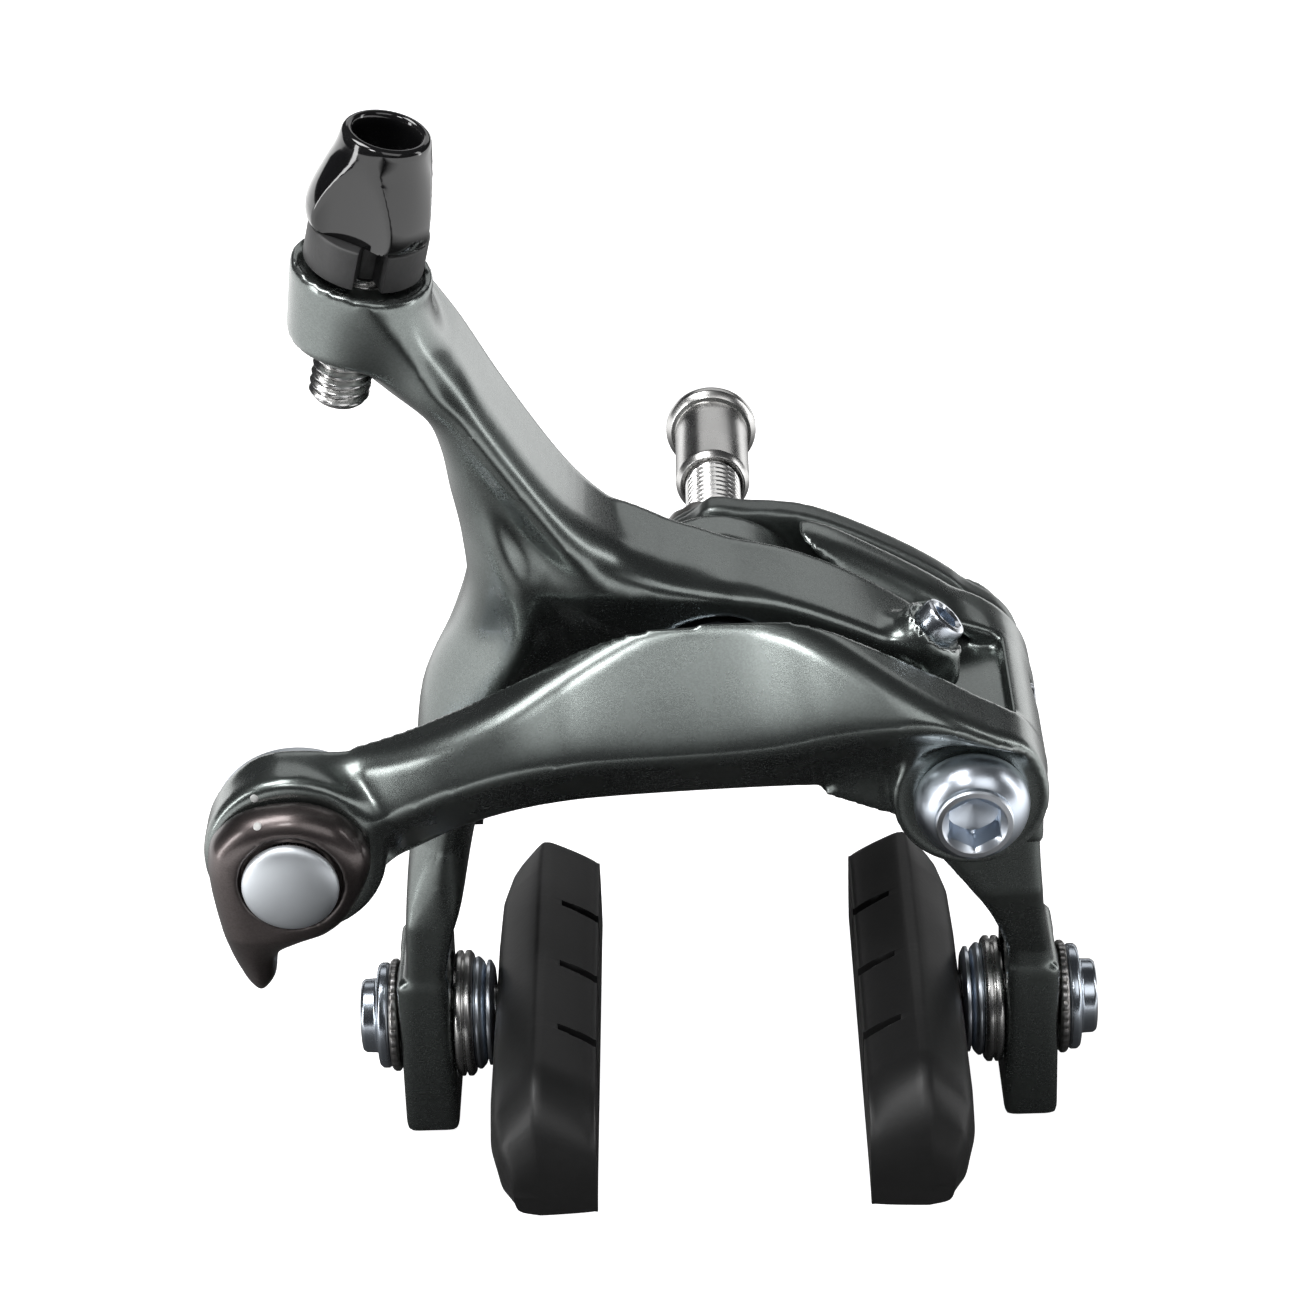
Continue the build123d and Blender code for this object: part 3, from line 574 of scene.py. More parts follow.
def slotField(grid, side, soft):
    # upright slot through a leg for the shoe's stud, on the outer side of the leg's inner face
    x, y, z = grid
    slot = np.hypot(y - shoeY, z - np.clip(z, shoeZ - shoeTravel, shoeZ + shoeTravel)) - slotRadius
    return softMax(slot, 26.0 - side * x, soft)


def cutAway(body, grid, cuts):
    # cuts in their order, each with the arguments of its field and then the softness of its rim
    fields = {"rod": rodField, "disc": discField, "box": boxField, "slot": slotField}
    for kind, *values, rim in cuts:
        body = softMax(body, -fields[kind](grid, *values), rim)
    return body


yArm = {
    "step": 0.42, "low": (-41.5, -33.0, -56.6), "high": (27.0, -7.6, 48.5),
    "outline": [(-36.5, 37.2), (-31.8, 33.2), (-27.7, 30.2), (-26.2, 26.0), (-25.6, 20.5), (-24.8, 15.0),
                (-24.7, 9.6), (-26.6, 3.6), (-30.2, -4.6), (-31.6, -16.0), (-32.8, -25.0), (-33.4, -34.0),
                (-34.0, -44.0), (-34.0, -60.0), (-29.6, -60.0), (-29.6, -44.0), (-29.3, -36.5),
                (-28.3, -30.5), (-27.2, -27.0), (-24.6, -17.0), (-18.6, -5.2), (-8.0, -5.0), (-2.0, 2.0),
                (0.6, 9.3), (-5.1, 12.6), (-9.6, 15.2), (-14.3, 20.0), (-20.0, 29.0), (-24.8, 37.6),
                (-29.0, 42.4), (-35.5, 42.0)],
    "ridgeA": [(-30.5, 44.0, -30.4), (-28.4, 39.5, -30.6), (-26.2, 34.2, -30.4), (-23.4, 31.0, -30.2),
               (-20.2, 26.1, -30.0), (-16.7, 20.6, -29.6), (-14.0, 16.1, -29.2), (-11.8, 12.9, -28.4),
               (-9.0, 10.8, -27.2)],
    "ridgeB": [(-25.0, 29.5, -27.4), (-23.2, 24.1, -27.8), (-21.6, 19.7, -28.0), (-20.4, 15.2, -28.1),
               (-19.2, 10.8, -28.0), (-18.8, 7.4, -27.8), (-19.6, 3.6, -27.2), (-22.2, -1.6, -26.2),
               (-26.0, -10.0, -25.2), (-28.6, -20.0, -25.4), (-30.0, -30.0, -26.0), (-31.0, -44.0, -26.3),
               (-31.2, -58.0, -26.3)],
    "ridgeC": [(-17.0, 12.4, -28.2), (-12.6, 11.2, -28.2), (-7.5, 10.2, -27.4), (-0.5, 9.2, -26.6),
               (8.0, 7.6, -26.2), (16.0, 4.0, -26.0), (24.0, -0.4, -26.0)],
    "slopeA": 0.95, "slopeB": 1.1, "slopeC": 0.55, "ridgeSoft": 1.3, "edgeSoft": 2.6,
    "branchBack": [(-9.5, 14.2), (-4.0, 12.3), (0.6, 11.0), (6.6, 9.8), (12.5, 7.3), (17.6, 4.2), (21.2, 1.4),
                   (22.4, -0.6), (21.0, -2.1), (17.8, -1.9), (14.0, 0.2), (9.0, 2.4), (2.0, 2.0),
                   (-6.0, 1.0), (-12.0, 8.0)],
    "branchFront": [(-12.0, 12.8), (-5.0, 10.8), (0.6, 9.9), (6.6, 8.8), (12.5, 6.5), (18.0, 4.0),
                    (22.8, 2.2), (24.1, -0.4), (22.4, -2.4), (18.0, -1.9), (14.0, 0.6), (9.0, 2.6),
                    (2.0, 3.4), (-5.0, 4.4), (-12.0, 8.0)],
    "hub": ((0, 0), 9.5, -8.9, -24.4, 0.8), "bossRadii": (5.9, 6.85), "bossFoot": -8.6,
    "screwBoss": (3.5, -4.2, -0.8, 0.9), "legBox": ((-34.55, -26.0, -57.0), (-29.05, -14.0, -36.0), 0.7),
    "legEnd": -55.2, "rear": -15.5, "legFront": -26.1,
    "cuts": [("rod", adjusterBase, adjusterUp, 9.9, 0.0, 14.0, 0.3, 0.5),     # room for the collar
             ("rod", adjusterBase, adjusterUp, 5.9, -0.7, 14.0, 0.2, 0.4),    # its seat
             ("rod", adjusterBase, adjusterUp, 3.05, -26.0, 14.0, 0.2, 0.5),  # bore for the stem
             ("disc", (0, 0), 7.4, -24.4, -33.0, 0.2, 0.5),                   # face under the thrust washer
             ("disc", (0, 0), 4.25, -5.0, -28.0, 0.2, 0.4),                   # bore for the bush
             ("slot", -1, 0.2, 0.5),
             ("rod", screwHead, screwUp, 2.0, -16.0, 4.0, 0.2, 0.4),
             ("rod", screwHead, screwUp, 2.95, -1.9, 9.0, 0.2, 0.5)],
}


def makeYArm(s):
    grid = gridOver(s["low"], s["high"], s["step"])
    x, y, z = grid
    flat = (x[:, 0, :], z[:, 0, :])
    lift = lambda a: a[:, None, :]     # a map over x and z, stretched along y
    outline = lift(outlineDistance(s["outline"], *flat))
    front = softMin(roof(s["ridgeA"], *flat, s["slopeA"], s["ridgeSoft"]),
                    roof(s["ridgeB"], *flat, s["slopeB"], s["ridgeSoft"]), 2.2)
    front = lift(softMin(front, roof(s["ridgeC"], *flat, s["slopeC"], s["ridgeSoft"]), 2.0))
    leg = np.clip((-20.0 - z) / 9.0, 0, 1)
    front = front * (1 - leg) + s["legFront"] * leg
    rear = s["rear"] + 1.5 * leg
    body = softMax(softMax(outline, (front - y) * 0.75, s["edgeSoft"] * (1 - 0.65 * leg)), y - rear, 1.4)
    t = np.clip((-16.0 - y) / 11.0, 0, 1)     # the branch changes its outline from its rear to its front
    rearEdge, frontEdge = (lift(outlineDistance(s[key], *flat)) for key in ("branchBack", "branchFront"))
    body = softMin(body, slabField(rearEdge * (1 - t) + frontEdge * t, y, -16.0, -26.8, 1.4), 2.0)
    body = softMin(body, discField(grid, *s["hub"]), 2.0)
    boss = rodField(grid, adjusterBase, adjusterUp, s["bossRadii"], s["bossFoot"], 0.0, 1.0)
    body = softMin(body, boss, 3.4)
    body = softMin(body, rodField(grid, screwHead, screwUp, *s["screwBoss"]), 1.6)
    body = softMin(body, boxField(grid, *s["legBox"]), 0.7)
    body = cutAway(softMax(body, s["legEnd"] - z, 0.9), grid, s["cuts"])
    points, quads = surfaceNet(body, s["low"], s["step"])
    points = relaxed(points, quads, 9)
    return addPiece("yArmForging", points, [quads], "y_arm", ["y_arm"], paintArm, None)


makeYArm(yArm)
print("Y arm made")


# C arm: front plate, side pivot boss, the band behind the Y arm's tip and the right leg

sideX, sideZ = 24.3, -8.5
releaseX, releaseZ = -42.2, -12.2

cArm = {
    "step": 0.42, "low": (-52.6, -42.0, -56.6), "high": (36.6, -7.6, 12.4),
    "outline": [(-46.0, -4.8), (-38.8, -3.8), (-31.4, -1.7), (-21.3, 2.8), (-13.4, 7.0), (-5.6, 10.0),
                (2.1, 10.4), (9.8, 8.7), (17.5, 5.0), (25.2, 0.6), (30.0, -3.2), (31.0, -9.0),
                (29.0, -14.6), (21.0, -14.0), (14.0, -11.2), (5.7, -8.9), (-6.1, -8.8), (-18.1, -10.0),
                (-26.2, -12.5), (-33.5, -17.2), (-41.0, -19.6), (-48.2, -14.6)],
    "crest": [(-46.0, -11.5, -37.4), (-38.0, -9.6, -37.7), (-33.0, -7.8, -38.2), (-29.5, -6.0, -38.7),
              (-25.9, -4.3, -39.1), (-20.5, -2.5, -39.4), (-15.6, -1.6, -39.5), (-11.7, -1.2, -39.6),
              (-2.1, -0.8, -39.6), (3.7, -0.4, -39.6), (7.5, 0.2, -39.6), (11.3, 1.0, -39.6),
              (17.0, 1.6, -39.5), (22.0, 1.2, -39.2), (27.5, -1.4, -38.4)],
    "slope": 0.86, "soft": 0.9, "edgeSoft": 1.6,
    "band": [(8.6, 8.6), (11.0, 8.3), (15.0, 6.3), (23.5, 1.1), (29.1, -4.1), (31.7, -9.0), (31.8, -16.0),
             (28.0, -19.5), (19.0, -16.0), (15.0, -8.0), (12.3, 1.5), (9.6, 6.6)],
    "leg": [(31.5, -8.0), (31.8, -18.0), (32.6, -28.0), (33.7, -35.5), (34.0, -44.0), (34.0, -60.0),
            (29.6, -60.0), (29.6, -44.0), (29.3, -36.5), (28.2, -31.0), (25.6, -25.0), (20.5, -17.5),
            (17.5, -9.0), (24.0, -5.0)],
    "wall": [(28.7, -16.0), (28.7, -3.6), (30.6, -5.6), (31.8, -9.0), (31.8, -16.0)],
    "lug": [(12.4, -7.3), (14.6, -6.9), (20.0, -9.0), (21.0, -13.0), (16.0, -12.0), (10.0, -9.6)],
    "rear": -31.2, "boss": ((releaseX, releaseZ), 9.0, -31.8, -38.0, 1.4), "legEnd": -55.2,
    "legBox": ((29.05, -26.0, -57.0), (34.55, -14.0, -36.0), 0.7),
    "hub": ((sideX, sideZ), 7.7, -8.9, -36.3, 0.7),
    "room": [("disc", (releaseX, releaseZ), 10.6, -28.0, -31.8, 0.2, 0.4),        # for the anchor's disc
             ("box", (12.0, -31.2, -3.5), (28.6, -15.4, 9.0), 0.7, 0.5)],         # for the Y arm's branch
    "cave": ((20.5, -17.0, -3.2), (28.4, -10.8, 9.0), 0.5), "caveWall": 1.5,
    "cuts": [("disc", (sideX, sideZ), 6.9, -36.2, -46.0, 0.3, 0.6),               # seat of the pivot bolt
             ("disc", (sideX, sideZ), 4.25, -5.0, -46.0, 0.2, 0.4),
             ("disc", (releaseX, releaseZ), 4.1, -28.0, -46.0, 0.2, 0.4),
             ("slot", 1, 0.2, 0.5),
             ("rod", (31.6, -18.0, -8.6), (1, 0, 0), 2.05, -2.6, 4.0, 0.2, 0.4),  # bore for the grub screw
             ("rod", screwHead, screwUp, 3.0, -12.7, -7.0, 0.2, 0.4)],     # way for the centering screw
}


def makeCArm(s):
    grid = gridOver(s["low"], s["high"], s["step"])
    x, y, z = grid
    flat = (x[:, 0, :], z[:, 0, :])
    lift = lambda a: a[:, None, :]
    outline = lift(outlineDistance(s["outline"], *flat))
    front = lift(roof(s["crest"], *flat, s["slope"], s["soft"]))
    plate = softMax(softMax(outline, (front - y) * 0.78, s["edgeSoft"]), y - s["rear"], 0.6)
    plate = softMin(plate, discField(grid, *s["boss"]), 2.2)
    bandEdge = lift(outlineDistance(s["band"], *flat))
    band = softMax(softMax(bandEdge, -15.4 - y, 4.5), y + 8.9, 1.2)
    body = softMin(plate, band, 0.4)
    legFront = -30.0 + 4.0 * np.clip((-24 - z) / 10, 0, 1)     # the leg thins towards its foot
    body = softMin(body, slabField(lift(outlineDistance(s["leg"], *flat)), y, -14.0, legFront, 1.0), 1.5)
    body = softMin(body, boxField(grid, *s["legBox"]), 0.7)
    body = softMax(body, s["legEnd"] - z, 0.9)
    body = softMin(body, discField(grid, *s["hub"]), 1.6)
    for key, rear in (("wall", -8.9), ("lug", -18.8)):
        edge = lift(outlineDistance(s[key], *flat, False))
        body = softMin(body, slabField(edge, y, rear, -33.0, 0.5), 0.8)
    body = cutAway(body, grid, s["room"])
    cave = softMax(bandEdge + s["caveWall"], boxField(grid, *s["cave"]), 0.4)     # hollow inside the band
    body = cutAway(softMax(body, -cave, 0.4), grid, s["cuts"])
    points, quads = surfaceNet(body, s["low"], s["step"])
    points = relaxed(points, quads, 9)
    return addPiece("cArmForging", points, [quads], "c_arm", ["c_arm"], paintArm, None)


cArmPiece = makeCArm(cArm)
print("C arm made")


# bracket behind both arms

bracket = {
    "step": 0.45, "low": (-9.4, -9.6, -18.6), "high": (33.4, -0.4, 10.4),
    "plate": [(-2, 8.0), (4, 9.0), (12, 7.4), (24.5, 0.2), (30.6, -8.0), (31, -11.5), (27.5, -15.8),
              (20, -15.4), (8, -13.0), (-4, -7.2)],
    "neck": [(-2, 6.2), (4, 6.0), (22, -2.8), (28.6, -8.4), (29, -12.0), (26, -14.4), (20, -13.2), (8, -11.8),
             (-3, -6)],
    "hubs": (((0, 0), 8.0), ((sideX, sideZ), 7.2)), "bore": 3.0,
}


def makeBracket(s):
    grid = gridOver(s["low"], s["high"], s["step"])
    x, y, z = grid
    flat = (x[:, 0, :], z[:, 0, :])
    plate = slabField(outlineDistance(s["plate"], *flat)[:, None, :], y, -4.8, -8.2, 0.9)
    neck = slabField(outlineDistance(s["neck"], *flat)[:, None, :], y, -2.0, -6.0, 0.8)
    body = softMin(plate, neck, 1.0)
    for centre, radius in s["hubs"]:
        body = softMin(body, discField(grid, centre, radius, -5.0, -8.2, 0.8), 0.8)
        body = softMin(body, discField(grid, centre, radius - 1.0, -2.0, -6.0, 0.8), 0.8)
        body = softMax(body, -discField(grid, centre, s["bore"], 2.0, -12.0, 0.2), 0.3)
    points, quads = surfaceNet(body, s["low"], s["step"])
    return addPiece("bracketForging", relaxed(points, quads, 4), [quads], "bracket", ["bracket"],
                    paintBracket, None)


makeBracket(bracket)
print("bracket made")


# mounting hardware on the stud, which runs along +Y

rearwards, forwards, outwards = (0, 1, 0), (0, -1, 0), (1, 0, 0)

mounting = {"stud": 2.98, "thread": 0.46, "pitch": 1.0, "teeth": 18, "toothDepth": 0.45, "socket": 5.0}


def makeCentreBolt(s):
    # stud with a thread at both ends and a plain pivot between them
    rows = [(0, -30.4), (2.3, -30.4)] + boltThread(-30.0, -25.6, s["stud"], s["thread"], s["pitch"])
    rows += [(s["stud"], -24.8), (s["stud"], 1.0)] + boltThread(1.6, 23.4, s["stud"], s["thread"], s["pitch"])
    rows += [(2.3, 24.0), (0, 24.0)]
    front = threadShape(-30.2, -25.6, s["thread"], s["pitch"])
    rear = threadShape(1.6, 23.6, s["thread"], s["pitch"])

    def shape(theta, r, h):
        cut = (r > 2.5) & (r < s["stud"] - 0.01)
        made = np.where(h < -20, front(theta, r, h)[0], rear(theta, r, h)[0])
        return np.where(cut, made, r), h
    points, faces = turned(rows, (0, 0, 0), rearwards, 60, shape)
    addPiece("centreBolt", points, faces, "bracket", ["centre_bolt"], brushedSteel, 50)


def makeMountingWasher(s):
    # flat ring whose rear face carries radial teeth, a triangle wave round it that grows outwards
    rows = softCorners([(3.02, -1.0), (3.02, -2.0), (6.5, -2.0), (6.5, -0.02), (5.0, -0.02), (3.4, -0.02),
                        (3.02, -0.3), (3.02, -1.0)], 0.2)

    def shape(theta, r, h):
        tooth = np.abs((theta * s["teeth"] / (2 * math.pi)) % 1 * 2 - 1)
        depth = s["toothDepth"] * np.clip((r - 3.6) / 1.2, 0, 1) * (h > -0.5)
        return r, h - depth * tooth
    points, faces = revolvedRing(rows, (0, 0, 0), rearwards, s["teeth"] * 12, shape)
    addPiece("serratedWasher", points, faces, "bracket", ["mounting_washer"], springSteel, 30)


def makeRecessedNut(s):
    # sleeve, stepped flange with a domed end, and a hexagon socket sunk into it
    rows = [(3.04, 19.0), (3.04, 15.3), (3.3, 15.0), (3.55, 15.0), (4.0, 15.75), (4.0, 27.2), (4.0, 27.5),
            (4.45, 27.5), (5.0, 28.15), (5.0, 29.0), (4.82, 29.25), (4.7, 29.6), (4.2, 30.2), (3.5, 30.4),
            (3.15, 30.4), (2.94, 30.1), (2.94, 24.8), (2.9, 24.6), (3.04, 24.3), (3.04, 19.0)]

    def shape(theta, r, h):
        return np.where((r < 2.95) & (h > 24.5), hexRadius(theta, s["socket"]), r), h
    points, faces = revolvedRing(softCorners(rows, 0.12, 2), (0, 0, 0), rearwards, 96, shape)
    addPiece("recessedSleeveNut", points, faces, "bracket", ["recessed_nut"], brushedSteel,
             24)


def hexNut(name, origin, up, flats, inner, low, high, body, node, material):
    # ring whose outside follows a hexagon, turned down to a chamfer at each end
    corner = flats / 2 / math.cos(math.pi / 6)
    rows = [(inner, (low + high) / 2), (inner, low + 0.3), (inner + 0.3, low), (flats / 2 - 0.1, low),
            (corner - 0.05, low + 0.45), (corner, low + 0.6), (corner, high - 0.6),
            (corner - 0.05, high - 0.45), (flats / 2 - 0.1, high), (inner + 0.3, high), (inner, high - 0.3),
            (inner, (low + high) / 2)]

    def shape(theta, r, h):
        return np.where(r > inner + 0.5, np.minimum(r, hexRadius(theta, flats, corner - 0.1)), r), h
    points, faces = revolvedRing(rows, origin, up, 96, shape)
    addPiece(name, points, faces, body, [node], material, 24)


makeCentreBolt(mounting)
makeMountingWasher(mounting)
makeRecessedNut(mounting)
hexNut("centreLockNut", (0, 0, 0), forwards, 10.0, 3.0, 25.9, 29.6, "bracket", "centre_lock_nut",
       zincSteel)
print("mounting hardware made")


# side pivot bolt, centering screw and grub screw

pivotBolt = {"seat": -36.3, "radius": 5.68, "socket": 5.0, "end": 4.7}


def makePivotBolt(s):
    # shank, then a deep dome whose raised ring stands round a hexagon socket
    r, end = s["radius"], s["end"]
    dome = [(r, 0.9), (r - 0.10, 1.5), (r - 0.30, 2.15), (r - 0.62, 2.8), (r - 1.05, 3.4), (r - 1.55, 3.85),
            (r - 1.78, 4.0), (r - 1.84, end - 0.25), (r - 2.0, end - 0.04), (3.2, end), (2.99, end - 0.15),
            (2.93, end - 0.5)]
    rows = softCorners([(0, -34.4), (2.5, -34.4), (2.97, -33.9), (2.97, 0.0), (r - 0.5, 0.0),
                        (r - 0.25, 0.12), (r, 0.5)], 0.1, 2).tolist()
    rows += dome + [(2.9, 1.6), (2.6, 1.35), (1.4, 0.95), (0, 0.8)]

    def shape(theta, radius, h):
        wall = (radius < 2.95) & (radius > 2.5) & (h > 1.2)
        flats = np.minimum(hexRadius(theta, s["socket"]), radius)
        return np.where(wall, flats, radius), h
    points, faces = turned(rows, (sideX, s["seat"], sideZ), forwards, 96, shape)
    addPiece("sidePivotBolt", points, faces, "bracket", ["side_pivot_bolt"], polishedSteel,
             26)


def socketScrew(name, origin, up, shank, head, low, shoulder, top, flats, body, node, material):
    # threaded shank and a round head with softened edges, chamfered into a hexagon socket
    rows = [(0, low), (shank - 0.4, low)] + boltThread(low + 0.3, shoulder - 0.2, shank, 0.3, 0.7)
    rows += [(shank, shoulder), (head - 0.25, shoulder), (head, shoulder + 0.2), (head, top - 0.45),
             (head - 0.14, top - 0.14), (head - 0.45, top), (flats / 2 + 0.42, top),
             (flats / 2 + 0.12, top - 0.22), (flats / 2 + 0.1, top - 1.5), (flats / 2 - 0.2, top - 1.6),
             (0, top - 1.75)]
    thread = threadShape(low + 0.3, shoulder - 0.2, 0.3, 0.7)

    def shape(theta, r, h):
        r = np.where(h < shoulder - 0.15, thread(theta, r, h)[0] * (r > 0.1), r)
        wall = (r < flats / 2 + 0.14) & (r > flats / 2) & (h > top - 1.55)
        return np.where(wall, np.minimum(hexRadius(theta, flats), r + 0.3), r), h
    points, faces = turned(rows, origin, up, 72, shape)
    addPiece(name, points, faces, body, [node], material, 28)


makePivotBolt(pivotBolt)
socketScrew("centeringScrew", screwHead, screwUp, 1.95, 2.4, -12.0, -1.8, 0.6, 2.5, "centering_screw",
            "centering_screw", zincSteel)
socketScrew("pivotGrubScrew", (31.6, -18.0, -8.6), outwards, 1.95, 1.98, -2.6, -0.9, 0.5, 2.0, "c_arm",
            "pivot_grub_screw", zincSteel)
print("screws made")


# barrel adjuster: threaded stem, grained collar and lobed knob

adjuster = {"stem": 2.93, "thread": 0.5, "pitch": 1.0, "collar": 5.7, "notch": 2.7, "notchDepth": 2.4,
            "scallopFar": 22.6, "scallopRadius": 18.1, "scallops": (-111.5, 8.5, 128.5), "housing": 3.1}


def makeStem(s):
    # hollow stem: the thread runs from its chamfered end up into the collar
    rows = [(1.25, -8.0), (1.25, -14.8), (1.45, -15.0), (2.3, -15.0)]
    rows += boltThread(-14.7, 3.6, s["stem"], s["thread"], s["pitch"])
    rows += [(2.84, 4.2), (2.84, 8.1), (1.25, 8.1), (1.25, -8.0)]
    thread = threadShape(-15.2, 4.4, s["thread"], s["pitch"])

    def shape(theta, r, h):
        return np.where((r > 2.5) & (h < 3.9), thread(theta, r, h)[0], r), h
    points, faces = revolvedRing(rows, adjusterBase, adjusterUp, 72, shape)
    addPiece("adjusterStem", points, faces, "adjuster_knob", ["adjuster_screw"], brushedSteel,
             50)


def makeCollar(s):
    # ring with a key notch at the front, where the radius steps in
    rows = ringPiece(s["collar"], 3.0, 0.12, 4.15, 0.3)

    def shape(theta, r, h):
        across = np.abs(r * np.cos(theta) - 0.65)
        notch = np.clip((s["notch"] / 2 - across) / 0.12, 0, 1) * (np.sin(theta) < 0) * (r > 5.3)
        return r - notch * s["notchDepth"], h
    points, faces = revolvedRing(rows, adjusterBase, adjusterUp, 240, shape)
    addPiece("adjusterCollar", points, faces, "adjuster_collar", ["adjuster_collar"],
             grainedPlastic, 30)


def makeKnob(s):
    # cone that leans in towards a rounded lip, cut by three shallow scallops: round cuts whose axes run
    # along the knob's, so each is an arch that widens downwards
    h = np.array([0.0, 0.12, 0.4, 0.8, 1.4, 2.0, 2.8, 3.6, 4.4, 5.2, 6.0, 6.8, 7.6, 8.4, 9.0, 9.45])
    r = np.interp(h, [0, 0.12, 0.4, 0.8, 1.4, 2.2, 3.9, 6.1, 7.8, 9.45],
                  [5.5, 5.8, 6.05, 6.2, 6.28, 6.28, 5.85, 5.1, 4.5, 4.2])
    outer = np.stack([r, h], 1).tolist()
    lip = [(4.1, 9.7), (3.9, 9.9), (3.65, 10.0), (3.4, 9.96), (3.22, 9.75), (3.12, 9.3)]
    bore = [(s["housing"], 8.6), (s["housing"], 4.1), (2.9, 4.0), (2.9, 2.0)]
    rows = [(2.9, 2.0), (2.9, 0.0), (5.2, 0.0)] + outer + lip + bore

    def shape(theta, radius, height):
        made = radius
        for turn in s["scallops"]:
            off = np.abs((theta - math.radians(turn) + math.pi) % (2 * math.pi) - math.pi)
            reach = s["scallopRadius"] ** 2 - (s["scallopFar"] * np.sin(off)) ** 2
            cut = s["scallopFar"] * np.cos(off) - np.sqrt(np.maximum(reach, 0))
            cut = np.where((off < 0.9) & (reach > 0), cut + 0.03 * (height - 5), 99.0)
            made = np.where(radius > 4.0, softMin(made, np.maximum(cut, 4.0), 0.12), made)
        return made, height
    points, faces = revolvedRing(rows, adjusterBase + 4.2 * adjusterUp, adjusterUp, 240, shape)
    addPiece("adjusterKnob", points, faces, "adjuster_knob", ["adjuster_knob"],
             glossPlastic, 50)


makeStem(adjuster)
makeCollar(adjuster)
makeKnob(adjuster)
print("barrel adjuster made")


# quick release lever, its cap and cam, and the cable anchor behind the arm

release = {
    "step": 0.3, "low": (-52.0, -43.4, -28.0), "high": (-33.4, -37.6, -3.4),
    "outline": [(-50.4, -10.5), (-49.6, -8.2), (-46.6, -5.8), (-41.7, -4.9), (-37.9, -6.0), (-35.7, -8.0),
                (-34.6, -10.4), (-34.9, -13.2), (-36.9, -17.1), (-39.1, -19.2), (-42.2, -20.6),
                (-44.3, -22.0), (-44.9, -25.0), (-46.4, -26.7), (-47.9, -25.4), (-49.0, -22.4),
                (-49.9, -17.6), (-50.4, -13.5)],
}


def makeLever(s):
    # disc with a tail, its front edge rounded over and the tail set back from the disc
    grid = gridOver(s["low"], s["high"], s["step"])
    x, y, z = grid
    outline = outlineDistance(s["outline"], x[:, 0, :], z[:, 0, :])[:, None, :]
    tail = 1.3 * np.clip((-19.0 - z) / 5.0, 0, 1)
    body = softMax(softMax(outline, -42.3 + tail - y, 3.2), y + 38.35, 0.5)
    body = softMax(body, -discField(grid, (releaseX, releaseZ), 5.05, -41.2, -46.0, 0.2), 0.35)
    body = softMax(body, -discField(grid, (releaseX, releaseZ), 4.0, -36.0, -46.0, 0.2), 0.3)
    points, quads = surfaceNet(body, s["low"], s["step"])
    return addPiece("quickReleaseLever", relaxed(points, quads, 4), [quads], "quick_release",
                    ["quick_release_lever"], paintLever, None)


def makeReleaseHardware():
    cam = (releaseX, 0, releaseZ)
    pin = (releaseX, 0, releaseZ - 1.2)
    angle = np.linspace(0, math.pi / 2, 12)
    dome = [(4.75 * math.cos(a), 42.75 + 1.35 * math.sin(a)) for a in angle[:-1]]
    points, faces = turned([(0, 42.3), (4.5, 42.3), (4.75, 42.45)] + dome + [(0, 44.1)], cam, forwards, 96)
    addPiece("releaseCap", points, faces, "quick_release", ["quick_release_cap"],
             capMetal, 40)
    rows = softCorners([(0, 31.9), (3.95, 31.9), (3.95, 42.3), (0, 42.3)], 0.3)
    points, faces = turned(rows, cam, forwards, 72)
    points2, faces2 = turned(softCorners([(0, 22.4), (2.48, 22.4), (2.48, 22.8), (2.0, 22.85), (2.0, 23.45),
                                          (2.48, 23.5), (2.48, 31.9), (0, 31.9)], 0.15), pin, forwards, 72)
    faces = [faces[0], faces[1], faces2[0] + len(points), faces2[1] + len(points)]
    addPiece("releaseCam", np.vstack([points, points2]), faces, "quick_release", ["quick_release_cam"],
             brushedSteel)
    disc = [(2.6, 28.0), (2.6, 24.0), (2.9, 23.7), (3.7, 23.7), (3.98, 24.0), (3.98, 28.85), (8.5, 28.85),
            (8.88, 29.2), (8.9, 30.9), (8.6, 31.28), (2.9, 31.28), (2.6, 31.0), (2.6, 28.0)]
    points, faces = revolvedRing(softCorners(disc, 0.12, 2), pin, forwards, 96)
    addPiece("anchorDisc", points, faces, "cable_anchor", ["clamp_disc"], capMetal)
    points, faces = revolvedRing(ringPiece(6.6, 4.02, 27.52, 28.82, 0.3), pin, forwards, 96)
    addPiece("anchorWasher", points, faces, "cable_anchor", ["clamp_washer"], brushedSteel)
    hexNut("anchorNut", pin, forwards, 9.6, 4.0, 24.3, 27.5, "cable_anchor", "clamp_nut",
           zincSteel)


def makeDot(name, host, x, z, radius, body):
    # small paint dot: a lens laid on whatever the host shows at that place from the front
    hit, place, normal, face = host.ray_cast((x * mm, -0.08, z * mm), (0, 1, 0))
    rows = [(0, -0.3), (radius, -0.3), (radius, 0.0), (radius * 0.86, 0.05), (radius * 0.5, 0.08), (0, 0.09)]
    points, faces = turned(rows, np.array(place) / mm, tuple(normal), 24)
    addPiece(name, points, faces, body, [], dotPaint)


lever = makeLever(release)
makeReleaseHardware()
makeDot("armDot", cArmPiece, -45.5, -4.9, 0.42, "c_arm")
makeDot("leverDot", lever, -45.0, -5.95, 0.42, "quick_release")
print("quick release made")


# brake shoes: rubber pad, stud, washers and flanged nut on each side

